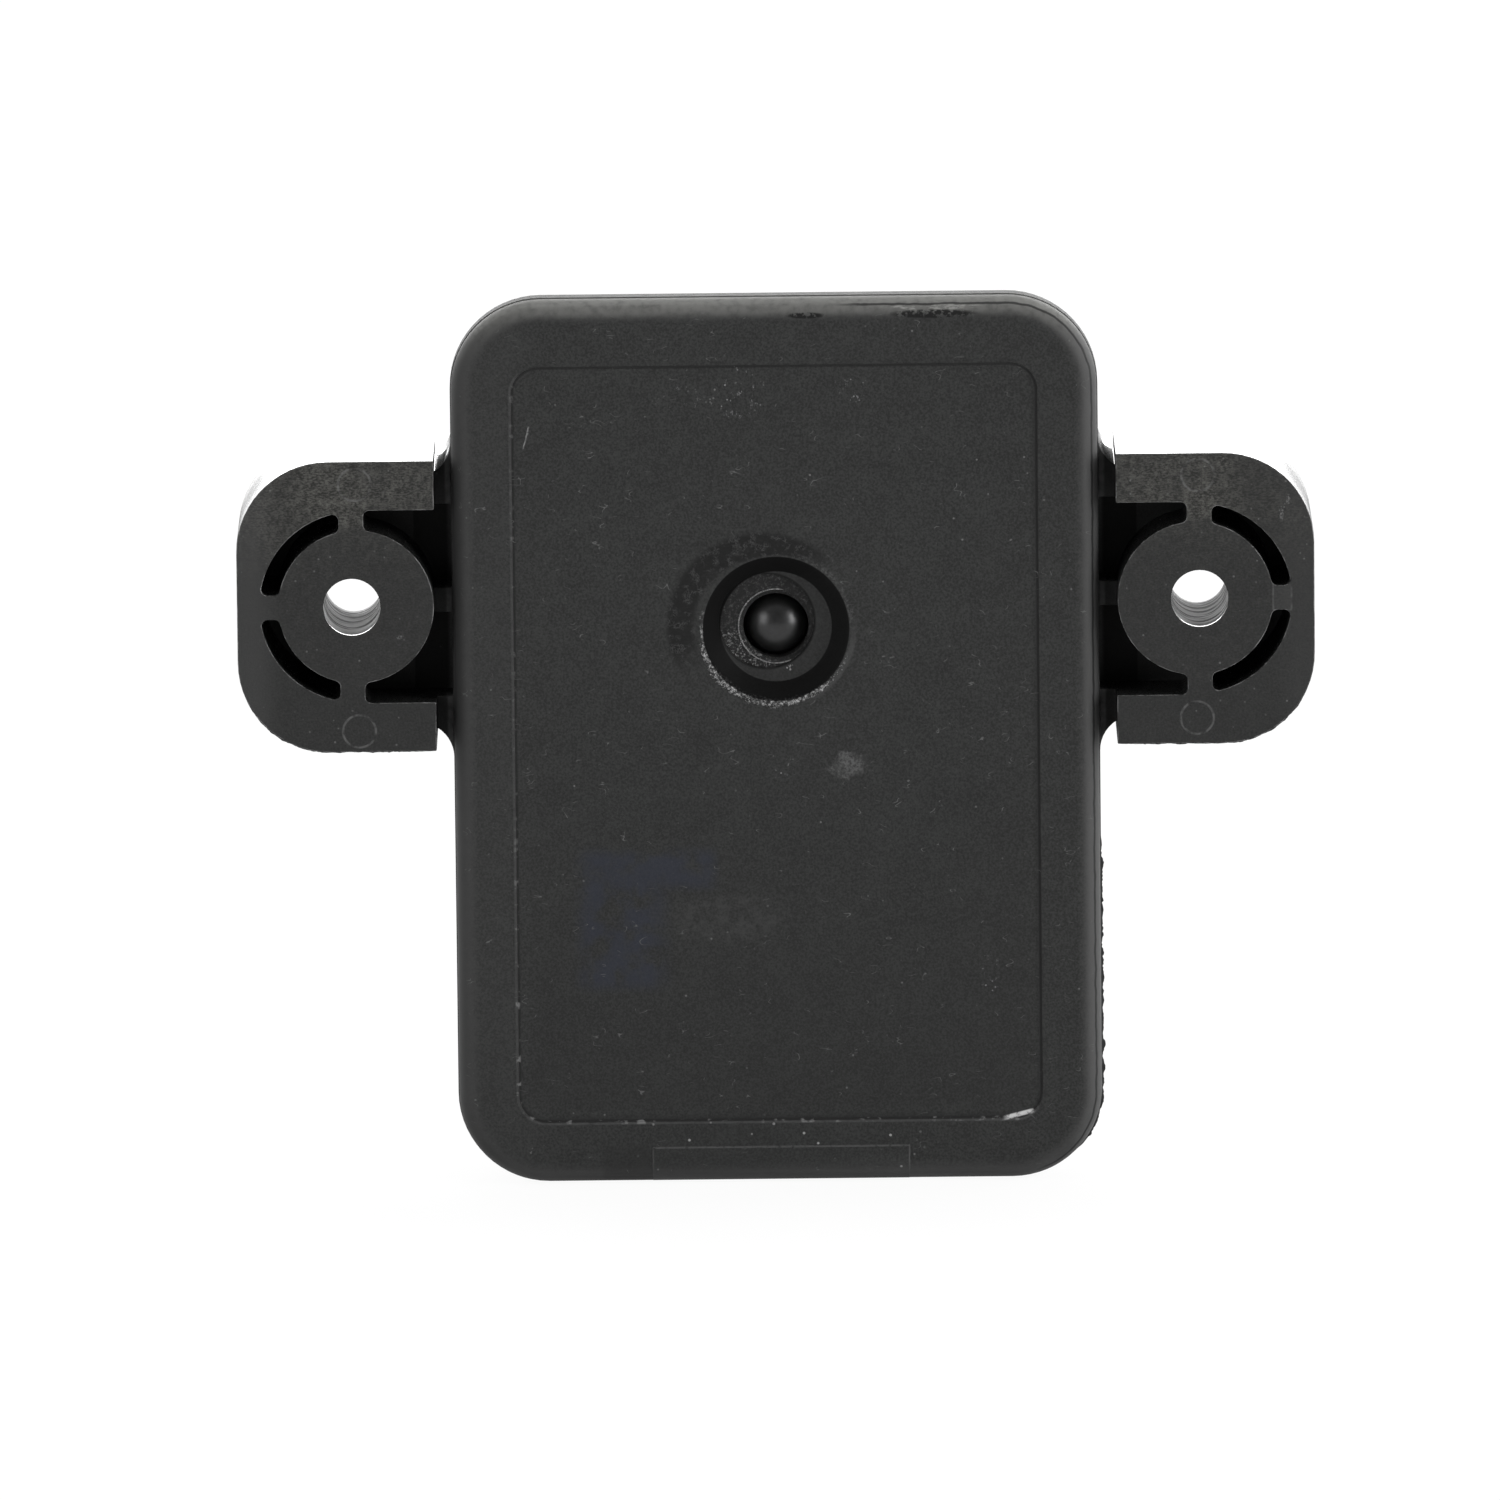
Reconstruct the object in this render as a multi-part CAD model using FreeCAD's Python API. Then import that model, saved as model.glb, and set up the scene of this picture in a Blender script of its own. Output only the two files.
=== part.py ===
import FreeCAD, Part
import math
import os

# Manifold absolute pressure sensor, in millimetres.
# The origin lies midway between the two bolt holes, on the plane of the ear pads.
# +X runs along the ears, +Z points away from the connector, and the back cover faces -Y.
# Depths are counted along +Y from the pad plane towards the hose nipple.

# Ears. Their width, height and spacing follow from what they are made of, from the boss outwards.
bolt_hole_d = 5.6
bolt_hole_chamfer = 0.3
boss_d = 15.2
boss_shift = 0.4
slot_width = 1.8
slot_floor = 3.0
slot_corner_r = 0.6
spoke_width = 2.45
rim_width = 2.2
arm_width = 4.85
arm_clearance = 0.1
ear_corner_r = 8.9
ear_thick = 14.0
neck_gap = 1.65
neck_depth = 3.7
neck_step = 2.2
neck_fillet_r = 3.5
pocket_depth = 7.5

# Flange and hood of the housing
flange_width = 63.1
flange_above = 29.8
flange_below = 57.8
flange_corner_r = 8.9
flange_thick = 2.0
hood_set_in = 2.0
hood_taper = 1.8
hood_wall = 2.2
hood_edge_r = 2.5

# Back cover
cover_depth = 0.5
cover_inset = 0.1
cover_edge_r = 2.2
cover_land = 0.5
cover_overlap = 0.7
panel_side_margin = 5.85
panel_top_margin = 6.3
panel_bottom_margin = 6.2
panel_corner_r = 2.7
panel_step = 0.1
patch_height = 3.6
patch_rise = 0.1

# Groove, tongue and adhesive between cover and housing
groove_inset = 1.6
groove_width = 1.5
groove_depth = 1.4
tongue_clearance = 0.2
bead_thick = 0.4
bead_clearance = 0.02

# Recess, sealing ball and its boss
recess_z = -2.7
recess_mouth_d = 14.4
recess_floor_d = 10.9
recess_depth = 1.6
spot_face_d = 9.4
spot_face_depth = 0.25
spot_face_x = -0.9
spot_face_rise = 0.55
ball_d = 6.35
ball_fit = 0.02
ball_sunk = 0.1
ball_lead_in = 0.35
vent_d = 3.0
ball_boss_wall = 3.0
ball_boss_floor = 1.4

# Hose port
port_z = -2.7
port_base_d = 12.0
port_base_height = 2.0
port_base_taper = 1.0
nipple_d = 5.5
nipple_length = 8.0
nipple_chamfer = 0.6
port_bore_d = 2.6
filter_d = 4.2
filter_thick = 1.5
filter_fit = 0.02
spigot_wall = 0.6
spigot_height = 0.7
gasket_fit = 0.2
gasket_width = 1.2
gasket_thick = 1.2

# Connector
shroud_width = 25.1
shroud_wall = 2.0
shroud_edge_r = 1.2
socket_depth = 16.5
socket_corner_r = 1.5
socket_end_wall = 2.2
key_rib_width = 1.4
key_rib_height = 1.0
key_rib_spacing = 12.6
latch_width = 6.0
latch_length = 4.2
latch_height = 1.3
latch_from_mouth = 2.0

# Terminals and the sealing compound round them
blade_pitch = 5.6
blade_width = 1.5
blade_thick = 0.8
blade_reach = 11.0
blade_tip = 0.3
blade_fit = 0.02
bend_r = 0.9
terminal_rise = 0.7
terminal_standoff = 1.3
terminal_inboard = 3.2
tail_beyond_board = 0.9
solder_height = 0.6
solder_spread = 0.7
potting_margin = 1.4
potting_thick = 1.6

# Circuit board and its posts
board_clearance = 1.6
board_thick = 1.6
board_gap = 2.0
board_edge_gap = 0.8
board_corner_r = 2.5
board_hole_d = 2.0
post_d = 5.0
post_inset = 4.5
post_pin_d = 2.2
post_hole_fit = 0.1
stake_d = 4.0
stake_height = 0.8

# Pressure cell
cell_base_thick = 0.8
cell_base_ledge = 0.5
cap_ledge = 0.4
cap_wall = 1.1
cap_roof = 0.6
cap_air_gap = 0.4
cap_hole_d = 2.4
die_size = 2.2
die_thick = 0.6
ribbon_width = 0.3
ribbon_thick = 0.1
ribbon_span = 1.2
ribbon_rise = 0.3
ribbon_pitch = 0.8
gel_cover = 0.1
cell_lead_width = 0.6
cell_lead_thick = 0.25
cell_lead_reach = 1.5
cell_lead_pitch = 1.8
cell_lead_count = 4

# Parts on the back of the board, placed from the board's edges or the port's axis
chip_width = 4.0
chip_height = 1.5
chip_gap = 0.15
chip_end = 0.5
chip_from_side = 10.0
chip_from_top = 12.3
chip_lead_count = 7
chip_lead_pitch = 1.27
chip_lead_width = 0.42
chip_lead_thick = 0.2
chip_lead_reach = 1.0
resistor_length = 2.0
resistor_width = 1.25
resistor_height = 0.55
resistor_pitch = 2.6
resistor_count = 6
resistor_from_side = 11.5
resistor_from_top = 12.0
capacitor_length = 3.2
capacitor_width = 1.6
capacitor_height = 1.2
capacitor_pitch = 5.6
capacitor_count = 3
capacitor_from_bottom = 10.7
reservoir_length = 6.0
reservoir_width = 3.2
reservoir_height = 2.5
reservoir_from_side = 11.0
reservoir_from_port = 11.3
diode_length = 4.3
diode_width = 2.6
diode_height = 2.1
diode_from_side = 10.5
diode_from_port = 11.3

# What follows from the sizes above: ears
arm_edge = boss_d / 2 + slot_width + arm_clearance
ear_height = 2 * (arm_edge + arm_width)
ear_outer = boss_d / 2 - boss_shift + slot_width + rim_width
arm_reach = boss_d / 2 + boss_shift + arm_clearance
bolt_pitch = flange_width + 2 * (neck_gap + arm_reach)
neck_height = ear_height - 2 * neck_step

# What follows: depths, from the cover to the housing's front
joint_depth = cover_depth + cover_edge_r + cover_land
flange_back = joint_depth + flange_thick
ball_depth = cover_depth + recess_depth + ball_sunk + ball_d / 2
shoulder_depth = ball_depth + math.sqrt(ball_d ** 2 - vent_d ** 2) / 2 + ball_fit
boss_end = shoulder_depth + ball_boss_floor
board_back_depth = boss_end + board_clearance
board_front_depth = board_back_depth + board_thick
cell_base_depth = board_front_depth + cell_base_thick
gel_depth = die_thick + ribbon_rise + ribbon_thick + gel_cover
cap_height = gel_depth + cap_air_gap + cap_roof
cap_top_depth = cell_base_depth + cap_height
floor_depth = cap_top_depth + gasket_thick
front_depth = floor_depth + hood_wall
socket_near = flange_back + shroud_wall
socket_far = front_depth - shroud_wall
blade_depth = (socket_near + socket_far) / 2

# What follows: heights, from the connector's mouth to the board
shroud_top_z = -flange_below + socket_depth + socket_end_wall
terminal_bend_z = shroud_top_z + potting_thick + bend_r + terminal_rise
board_below_z = terminal_bend_z + blade_thick / 2 + board_edge_gap
terminal_tail_z = board_below_z + terminal_inboard
cavity_inset = hood_set_in + hood_wall
board_inset = cavity_inset + hood_taper + board_gap
board_half_width = flange_width / 2 - board_inset
board_above_z = flange_above - board_inset
chip_x = chip_from_side - board_half_width
chip_z = board_above_z - chip_from_top

# What follows: the port's rings, from the filter outwards
spigot_d = filter_d + 2 * spigot_wall
gasket_inner_d = spigot_d + 2 * gasket_fit
gasket_outer_d = gasket_inner_d + 2 * gasket_width
cap_d = gasket_outer_d + 2 * cap_ledge
cell_base_d = cap_d + 2 * cell_base_ledge
eps = 1.0


def at(x, depth, z):
    return FreeCAD.Vector(x, depth, z)


def box(x_low, x_high, near, far, z_low, z_high):
    return Part.makeBox(x_high - x_low, far - near, z_high - z_low, at(x_low, near, z_low))


def cylinder(diameter, near, far, x=0.0, z=0.0):
    return Part.makeCylinder(diameter / 2, far - near, at(x, near, z), at(0, 1, 0))


def cone(near_d, far_d, near, far, x=0.0, z=0.0):
    return Part.makeCone(near_d / 2, far_d / 2, far - near, at(x, near, z), at(0, 1, 0))


def rounded_outline(x_low, x_high, z_low, z_high, radius, depth):
    """Closed wire of a rectangle with round corners, on the plane at this depth."""
    edges = []
    corners = [(x_high, z_low, -90), (x_high, z_high, 0), (x_low, z_high, 90), (x_low, z_low, 180)]
    points = []
    for x, z, start in corners:
        centre_x = x - math.copysign(radius, x - (x_low + x_high) / 2)
        centre_z = z - math.copysign(radius, z - (z_low + z_high) / 2)
        arc = []
        for angle in (start, start + 45, start + 90):
            turn = math.radians(angle)
            arc.append(at(centre_x + radius * math.cos(turn), depth, centre_z + radius * math.sin(turn)))
        points.append(arc)
    for index, arc in enumerate(points):
        edges.append(Part.Arc(*arc).toShape())
        edges.append(Part.LineSegment(arc[2], points[(index + 1) % 4][0]).toShape())
    return Part.Wire(edges)


def flange_outline(inset, depth):
    """The flange's own outline, taken in by an inset, so that all that nests in it runs parallel."""
    half = flange_width / 2 - inset
    radius = flange_corner_r - inset
    return rounded_outline(-half, half, inset - flange_below, flange_above - inset, radius, depth)


def slab(wire, thickness):
    return Part.Face(wire).extrude(at(0, thickness, 0))


def ring_slab(outer_inset, inner_inset, near, far):
    """A band that follows the flange's outline, between two insets and two depths."""
    outer = slab(flange_outline(outer_inset, near), far - near)
    return outer.cut(slab(flange_outline(inner_inset, near), far - near))


def is_upright(edge):
    """True for a straight edge that runs along the depth."""
    if not isinstance(edge.Curve, Part.Line):
        return False
    return abs(edge.Curve.Direction.y) > 0.999


def round_upright_edges(solid, radius, wanted=None):
    """Round the straight edges that run along the depth, all or those a test on x and z picks."""
    edges = []
    for edge in solid.Edges:
        middle = edge.CenterOfMass
        if is_upright(edge) and (wanted is None or wanted(middle.x, middle.z)):
            edges.append(edge)
    return solid.makeFillet(radius, edges)


def tidy(solid):
    """Merge faces that lie on one surface."""
    return solid.removeSplitter()


def single(solid):
    """The one solid inside a compound that a cut or a fuse left."""
    merged = tidy(solid)
    return merged.Solids[0] if len(merged.Solids) == 1 else merged


def mirrored(shape):
    return shape.mirror(at(0, 0, 0), at(1, 0, 0))


# Ears, built at +X. The hole stands at x = bolt_pitch / 2, z = 0.
def ear_plate():
    """Full outline of the ear, with large corners on its outer side only."""
    hole_x = bolt_pitch / 2
    half = ear_height / 2
    plate = box(hole_x - arm_reach, hole_x + ear_outer, 0, ear_thick, -half, half)
    return round_upright_edges(plate, ear_corner_r, lambda x, z: x > hole_x)


def ear_neck():
    """Web between ear and body. Its near face lies behind the pads, and concave fillets spread it."""
    wall_x = flange_width / 2
    root_x = wall_x - hood_set_in - hood_wall
    end_x = bolt_pitch / 2
    half = neck_height / 2
    spread = half + neck_fillet_r
    swing = neck_fillet_r * (1 - math.sqrt(0.5))

    def corner_arc(sign):
        return Part.Arc(at(wall_x, neck_depth, sign * spread),
                        at(wall_x + swing, neck_depth, sign * (half + swing)),
                        at(wall_x + neck_fillet_r, neck_depth, sign * half)).toShape()

    path = [at(wall_x + neck_fillet_r, neck_depth, half), at(end_x, neck_depth, half),
            at(end_x, neck_depth, -half), at(wall_x + neck_fillet_r, neck_depth, -half)]
    back = [at(wall_x, neck_depth, -spread), at(root_x, neck_depth, -spread),
            at(root_x, neck_depth, spread), at(wall_x, neck_depth, spread)]
    edges = [corner_arc(1)]
    edges += [Part.LineSegment(a, b).toShape() for a, b in zip(path, path[1:])]
    edges.append(corner_arc(-1))
    edges += [Part.LineSegment(a, b).toShape() for a, b in zip(back, back[1:])]
    return slab(Part.Wire(Part.__sortEdges__(edges)), ear_thick - neck_depth)


def ear_boss(far):
    return cylinder(boss_d, -eps, far, bolt_pitch / 2 - boss_shift)


def slot_end_r():
    """Corner radius at a slot's ends, which can't pass half of the slot's width."""
    return min(slot_corner_r, 0.45 * slot_width)


def ear_pocket(sign):
    """Open pocket between boss, arm and body, on the side of z that the sign gives."""
    spoke_x = bolt_pitch / 2 - spoke_width / 2
    z_pair = sorted((sign * spoke_width / 2, sign * arm_edge))
    pocket = box(flange_width / 2, spoke_x, -eps, pocket_depth, *z_pair).cut(ear_boss(pocket_depth + eps))
    solids = sorted(pocket.Solids, key=lambda solid: solid.Volume)
    return round_upright_edges(solids[-1], slot_end_r(),
                               lambda x, z: x > spoke_x - 0.01 and abs(z) > boss_d / 4)


def ear_slot(sign):
    """Blind arc slot between boss and rim, on the outer side of the ear."""
    centre_x = bolt_pitch / 2 - boss_shift
    floor = ear_thick - slot_floor
    ring = cylinder(boss_d + 2 * slot_width, -eps, floor, centre_x)
    ring = ring.cut(ear_boss(floor + eps))
    reach = boss_d
    z_pair = sorted((sign * spoke_width / 2, sign * reach))
    quarter = box(bolt_pitch / 2 + spoke_width / 2, centre_x + reach, -eps, floor, *z_pair)
    return round_upright_edges(ring.common(quarter).Solids[0], slot_end_r())


def ear():
    hole_x = bolt_pitch / 2
    spoke = spoke_width / 2
    shape = ear_plate().fuse(ear_neck())
    # Nothing stands at pad level between boss and body: the inner spoke lies down at the neck.
    channel = box(flange_width / 2, hole_x - spoke, -eps, neck_depth, -spoke, spoke)
    shape = shape.cut(channel.cut(ear_boss(neck_depth + eps)))
    for sign in (1, -1):
        shape = shape.cut(ear_pocket(sign)).cut(ear_slot(sign))
    shape = shape.cut(cylinder(bolt_hole_d, -eps, ear_thick + eps, hole_x))
    mouth_d = bolt_hole_d + 2 * bolt_hole_chamfer
    return shape.cut(cone(bolt_hole_d, mouth_d, ear_thick - bolt_hole_chamfer, ear_thick, hole_x))


# Housing
def hood():
    """Tapered hood behind the flange, closed at its front, with a rounded front edge."""
    wires = [flange_outline(hood_set_in, flange_back),
             flange_outline(hood_set_in + hood_taper, front_depth)]
    shape = Part.makeLoft(wires, True, True)
    front = [edge for edge in shape.Edges
             if all(abs(vertex.Point.y - front_depth) < 1e-6 for vertex in edge.Vertexes)]
    return shape.makeFillet(hood_edge_r, front)


def cavity():
    """Space inside the housing: straight through the flange, tapered inside the hood."""
    mouth = slab(flange_outline(cavity_inset, joint_depth - eps), flange_back - joint_depth + eps)
    share = (floor_depth - flange_back) / (front_depth - flange_back)
    wires = [flange_outline(cavity_inset, flange_back),
             flange_outline(cavity_inset + hood_taper * share, floor_depth)]
    return mouth.fuse(Part.makeLoft(wires, True, True))


def shroud():
    """Outer block of the connector, square to the body and flush with the flange's lower edge."""
    half = shroud_width / 2
    block = box(-half, half, flange_back, front_depth, -flange_below, shroud_top_z)
    edges = []
    for edge in block.Edges:
        middle = edge.CenterOfMass
        if abs(middle.y - front_depth) < 1e-6 and abs(abs(middle.x) - half) < 1e-6:
            edges.append(edge)
    return block.makeFillet(shroud_edge_r, edges)


def socket():
    """Hollow of the connector, open downwards, less its two keying ribs."""
    half = shroud_width / 2 - shroud_wall
    hollow = box(-half, half, socket_near, socket_far, -flange_below - eps, -flange_below + socket_depth)
    edges = [edge for edge in hollow.Edges if abs(edge.tangentAt(edge.FirstParameter).z) > 0.999]
    hollow = hollow.makeFillet(socket_corner_r, edges)
    for sign in (1, -1):
        centre = sign * key_rib_spacing / 2
        hollow = hollow.cut(box(centre - key_rib_width / 2, centre + key_rib_width / 2,
                                socket_far - key_rib_height, socket_far + eps,
                                -flange_below, -flange_below + socket_depth))
    return hollow


def latch_ramp():
    """Wedge on the connector's front that a plug's latch snaps over."""
    low = -flange_below + latch_from_mouth
    crest = low + latch_length
    half = latch_width / 2
    corners = [at(-half, front_depth, low), at(-half, front_depth, crest),
               at(-half, front_depth + latch_height, crest)]
    face = Part.Face(Part.makePolygon(corners + corners[:1]))
    return face.extrude(at(latch_width, 0, 0))


def post_places():
    x = board_half_width - post_inset
    return [(side, z) for side in (-x, x) for z in (board_above_z - post_inset, board_below_z + post_inset)]


def board_post(x, z):
    """Post under the board, with the pin through it and the staked head behind it."""
    post = cylinder(post_d, board_front_depth, floor_depth + hood_wall / 2, x, z)
    pin = cylinder(post_pin_d, board_back_depth - stake_height / 2, board_front_depth + eps, x, z)
    head_near = board_back_depth - stake_height
    head = cone(stake_d - stake_height, stake_d, head_near, board_back_depth, x, z)
    return post.fuse([pin, head])


def hose_port():
    """Base cone and plain nipple outside, with the gasket's spigot inside."""
    base_end = front_depth + port_base_height
    base = cone(port_base_d, port_base_d - 2 * port_base_taper, front_depth, base_end, 0, port_z)
    tip = base_end + nipple_length + nipple_chamfer
    pipe = cylinder(nipple_d, floor_depth + hood_wall / 2, tip - nipple_chamfer, 0, port_z)
    lead = cone(nipple_d, nipple_d - 2 * nipple_chamfer, tip - nipple_chamfer, tip, 0, port_z)
    spigot = cylinder(spigot_d, floor_depth - spigot_height, floor_depth + hood_wall / 2, 0, port_z)
    return base.fuse([pipe, lead, spigot]), tip


def port_passage(tip):
    """Bore of the nipple and the seat of the filter at its inner end."""
    seat_near = floor_depth - spigot_height
    seat_far = seat_near + filter_thick + filter_fit
    seat = cylinder(filter_d + 2 * filter_fit, seat_near - eps, seat_far, 0, port_z)
    return seat.fuse(cylinder(port_bore_d, seat_near, tip + eps, 0, port_z))


def housing():
    right_ear = ear()
    shape = slab(flange_outline(0, joint_depth), flange_thick)
    shape = shape.fuse([hood(), right_ear, mirrored(right_ear)])
    shape = shape.cut(cavity())
    port, tip = hose_port()
    posts = [board_post(x, z) for x, z in post_places()]
    shape = shape.fuse([shroud(), latch_ramp(), port] + posts)
    shape = shape.cut(socket())
    shape = shape.cut(port_passage(tip))
    shape = shape.cut(ring_slab(groove_inset, groove_inset + groove_width,
                                joint_depth - eps, joint_depth + groove_depth))
    for x in blade_places():
        shape = shape.cut(blade_slot(x, -flange_below + socket_depth - eps, shroud_top_z + eps))
    return single(shape)


# Back cover, its seal and the ball
def cover_plate(near):
    """Cover blank whose rounded edge starts from a face at this depth."""
    plate = slab(flange_outline(cover_inset, near), joint_depth - near)
    face = [edge for edge in plate.Edges
            if all(abs(vertex.Point.y - near) < 1e-6 for vertex in edge.Vertexes)]
    return plate.makeFillet(cover_edge_r, face)


def ball_bore():
    """Recess, spot-face, lead-in, bore and vent, one behind the other. The spot-face lies off centre."""
    floor = cover_depth + recess_depth
    seat = floor + spot_face_depth
    bore_d = ball_d + 2 * ball_fit
    recess = cone(recess_mouth_d, recess_floor_d, cover_depth, floor, 0, recess_z)
    spot_face = cylinder(spot_face_d, cover_depth, seat, spot_face_x, recess_z + spot_face_rise)
    lead = cone(bore_d + 2 * ball_lead_in, bore_d, seat, seat + ball_lead_in, 0, recess_z)
    mouth = cylinder(recess_mouth_d, cover_depth - eps, cover_depth, 0, recess_z)
    bore = cylinder(bore_d, floor, shoulder_depth, 0, recess_z)
    vent = cylinder(vent_d, shoulder_depth - eps, boss_end + eps, 0, recess_z)
    return mouth.fuse([recess, spot_face, lead, bore, vent])


def back_cover():
    bottom = cover_inset - flange_below
    raised = cover_plate(cover_depth - patch_rise)
    patch = raised.common(box(-shroud_width / 2, shroud_width / 2, 0, joint_depth,
                              bottom - eps, bottom + patch_height))
    shape = cover_plate(cover_depth).fuse(patch)
    panel_half = flange_width / 2 - cover_inset - panel_side_margin
    panel = rounded_outline(-panel_half, panel_half, bottom + panel_bottom_margin,
                            flange_above - cover_inset - panel_top_margin,
                            panel_corner_r, cover_depth - eps)
    shape = shape.cut(slab(panel, eps + panel_step))
    tongue = ring_slab(groove_inset + tongue_clearance, groove_inset + groove_width - tongue_clearance,
                       joint_depth - cover_overlap, joint_depth + groove_depth - bead_thick)
    boss_d = ball_d + 2 * ball_boss_wall
    boss = cylinder(boss_d, joint_depth - cover_overlap, boss_end, 0, recess_z)
    shape = shape.fuse([tongue, boss])
    return single(shape.cut(ball_bore()))


def cover_seal():
    """Adhesive bead in the bottom of the groove, under the cover's tongue."""
    return single(ring_slab(groove_inset + bead_clearance, groove_inset + groove_width - bead_clearance,
                            joint_depth + groove_depth - bead_thick, joint_depth + groove_depth))


def sealing_ball():
    return Part.makeSphere(ball_d / 2, at(0, ball_depth, recess_z))


# Terminals
def blade_places():
    return [-blade_pitch, 0.0, blade_pitch]


def blade_slot(x, z_low, z_high):
    half_x = blade_width / 2 + blade_fit
    half_y = blade_thick / 2 + blade_fit
    return box(x - half_x, x + half_x, blade_depth - half_y, blade_depth + half_y, z_low, z_high)


def bent_path(points, radius):
    """Wire through the points in which each inner corner is a tangent arc."""
    edges = []
    start = points[0]
    for before, corner, after in zip(points, points[1:], points[2:]):
        back = (before - corner).normalize()
        ahead = (after - corner).normalize()
        half_turn = back.getAngle(ahead) / 2
        reach = radius / math.tan(half_turn)
        first = corner + back * reach
        last = corner + ahead * reach
        middle = (back + ahead).normalize() * (radius / math.sin(half_turn) - radius)
        edges.append(Part.LineSegment(start, first).toShape())
        edges.append(Part.Arc(first, corner + middle, last).toShape())
        start = last
    edges.append(Part.LineSegment(start, points[-1]).toShape())
    return Part.Wire(edges)


def terminal(x):
    """Flat strip: a blade in the socket, two bends behind its wall and a tail through the board."""
    tip_z = -flange_below + socket_depth - blade_reach
    back = board_back_depth - terminal_standoff - blade_thick / 2
    points = [at(x, blade_depth, tip_z), at(x, blade_depth, terminal_bend_z), at(x, back, terminal_bend_z),
              at(x, back, terminal_tail_z), at(x, board_front_depth + tail_beyond_board, terminal_tail_z)]
    path = bent_path(points, bend_r)
    half_x = blade_width / 2
    half_y = blade_thick / 2
    section = [at(x - half_x, blade_depth - half_y, tip_z), at(x + half_x, blade_depth - half_y, tip_z),
               at(x + half_x, blade_depth + half_y, tip_z), at(x - half_x, blade_depth + half_y, tip_z)]
    strip = path.makePipeShell([Part.makePolygon(section + section[:1])], True, False)
    tip_edges = [edge for edge in strip.Edges
                 if all(abs(vertex.Point.z - tip_z) < 1e-6 for vertex in edge.Vertexes)]
    return strip.makeChamfer(blade_tip, tip_edges)


def terminal_potting():
    """Sealing compound poured round the three blades, inside the housing."""
    half_x = blade_pitch + blade_width / 2 + potting_margin
    half_y = blade_thick / 2 + potting_margin
    block = box(-half_x, half_x, blade_depth - half_y, blade_depth + half_y,
                shroud_top_z, shroud_top_z + potting_thick)
    for x in blade_places():
        block = block.cut(blade_slot(x, shroud_top_z - eps, shroud_top_z + potting_thick + eps))
    return single(block)


# Circuit board
def circuit_board():
    outline = rounded_outline(-board_half_width, board_half_width, board_below_z, board_above_z,
                              board_corner_r, board_back_depth)
    shape = slab(outline, board_thick)
    for x, z in post_places():
        hole_d = post_pin_d + 2 * post_hole_fit
        shape = shape.cut(cylinder(hole_d, board_back_depth - eps, board_front_depth + eps, x, z))
    for x in blade_places():
        shape = shape.cut(cylinder(board_hole_d, board_back_depth - eps, board_front_depth + eps,
                                   x, terminal_tail_z))
    return single(shape)


def on_board_back(x, z, size_x, size_z, height, gap=0.0):
    """Block that sits on the back of the board, or stands off it by a gap."""
    return box(x - size_x / 2, x + size_x / 2, board_back_depth - gap - height, board_back_depth - gap,
               z - size_z / 2, z + size_z / 2)


def amplifier_chip():
    length = (chip_lead_count - 1) * chip_lead_pitch + 2 * chip_end
    body = on_board_back(chip_x, chip_z, chip_width, length, chip_height, chip_gap)
    edges = [edge for edge in body.Edges
             if abs(edge.CenterOfMass.y - (board_back_depth - chip_gap - chip_height)) < 1e-6]
    return body.makeChamfer(chip_height / 5, edges)


def flat_strip(points, width, thick):
    """Thin strip with sharp folds, along points that share one z, or one x, and are thickened in depth."""
    near = [point - at(0, thick / 2, 0) for point in points]
    far = [point + at(0, thick / 2, 0) for point in reversed(points)]
    outline = near + far
    face = Part.Face(Part.makePolygon(outline + outline[:1]))
    strip = face.extrude(at(0, 0, width))
    strip.translate(at(0, 0, -width / 2))
    return strip


def chip_leads():
    """Gull-wing leads down both sides of the amplifier."""
    leads = []
    shoulder = board_back_depth - chip_gap - chip_height / 2
    foot = board_back_depth - chip_lead_thick / 2
    for index in range(chip_lead_count):
        z = chip_z + (index - (chip_lead_count - 1) / 2) * chip_lead_pitch
        for sign in (1, -1):
            root = chip_x + sign * chip_width / 2
            step = sign * chip_lead_reach / 4
            points = [at(root, shoulder, z), at(root + step, shoulder, z),
                      at(root + 2 * step, foot, z), at(root + 4 * step, foot, z)]
            leads.append(flat_strip(points, chip_lead_width, chip_lead_thick))
    return Part.makeCompound(leads)


def chip_row(x, z, step_x, step_z, count, size_x, size_z, height):
    """Evenly spaced blocks on the back of the board, centred on a place."""
    blocks = []
    for index in range(count):
        shift = index - (count - 1) / 2
        blocks.append(on_board_back(x + shift * step_x, z + shift * step_z, size_x, size_z, height))
    return Part.makeCompound(blocks)


def trim_resistors():
    return chip_row(board_half_width - resistor_from_side, board_above_z - resistor_from_top,
                    0, resistor_pitch, resistor_count,
                    resistor_length, resistor_width, resistor_height)


def filter_capacitors():
    return chip_row(0, board_below_z + capacitor_from_bottom, capacitor_pitch, 0, capacitor_count,
                    capacitor_width, capacitor_length, capacitor_height)


def reservoir_capacitor():
    return on_board_back(board_half_width - reservoir_from_side, port_z - reservoir_from_port,
                         reservoir_width, reservoir_length, reservoir_height)


def surge_diode():
    return on_board_back(diode_from_side - board_half_width, port_z - diode_from_port,
                         diode_width, diode_length, diode_height)


# Pressure cell on the front of the board, facing the port
def cell_base():
    return cylinder(cell_base_d, board_front_depth, cell_base_depth, 0, port_z)


def cell_cap():
    """Inverted cup over the die, with a hole that lets the pressure in."""
    shape = cylinder(cap_d, cell_base_depth, cap_top_depth, 0, port_z)
    inner = cylinder(cap_d - 2 * cap_wall, cell_base_depth - eps, cap_top_depth - cap_roof, 0, port_z)
    hole = cylinder(cap_hole_d, cell_base_depth, cap_top_depth + eps, 0, port_z)
    return single(shape.cut(inner).cut(hole))


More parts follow.
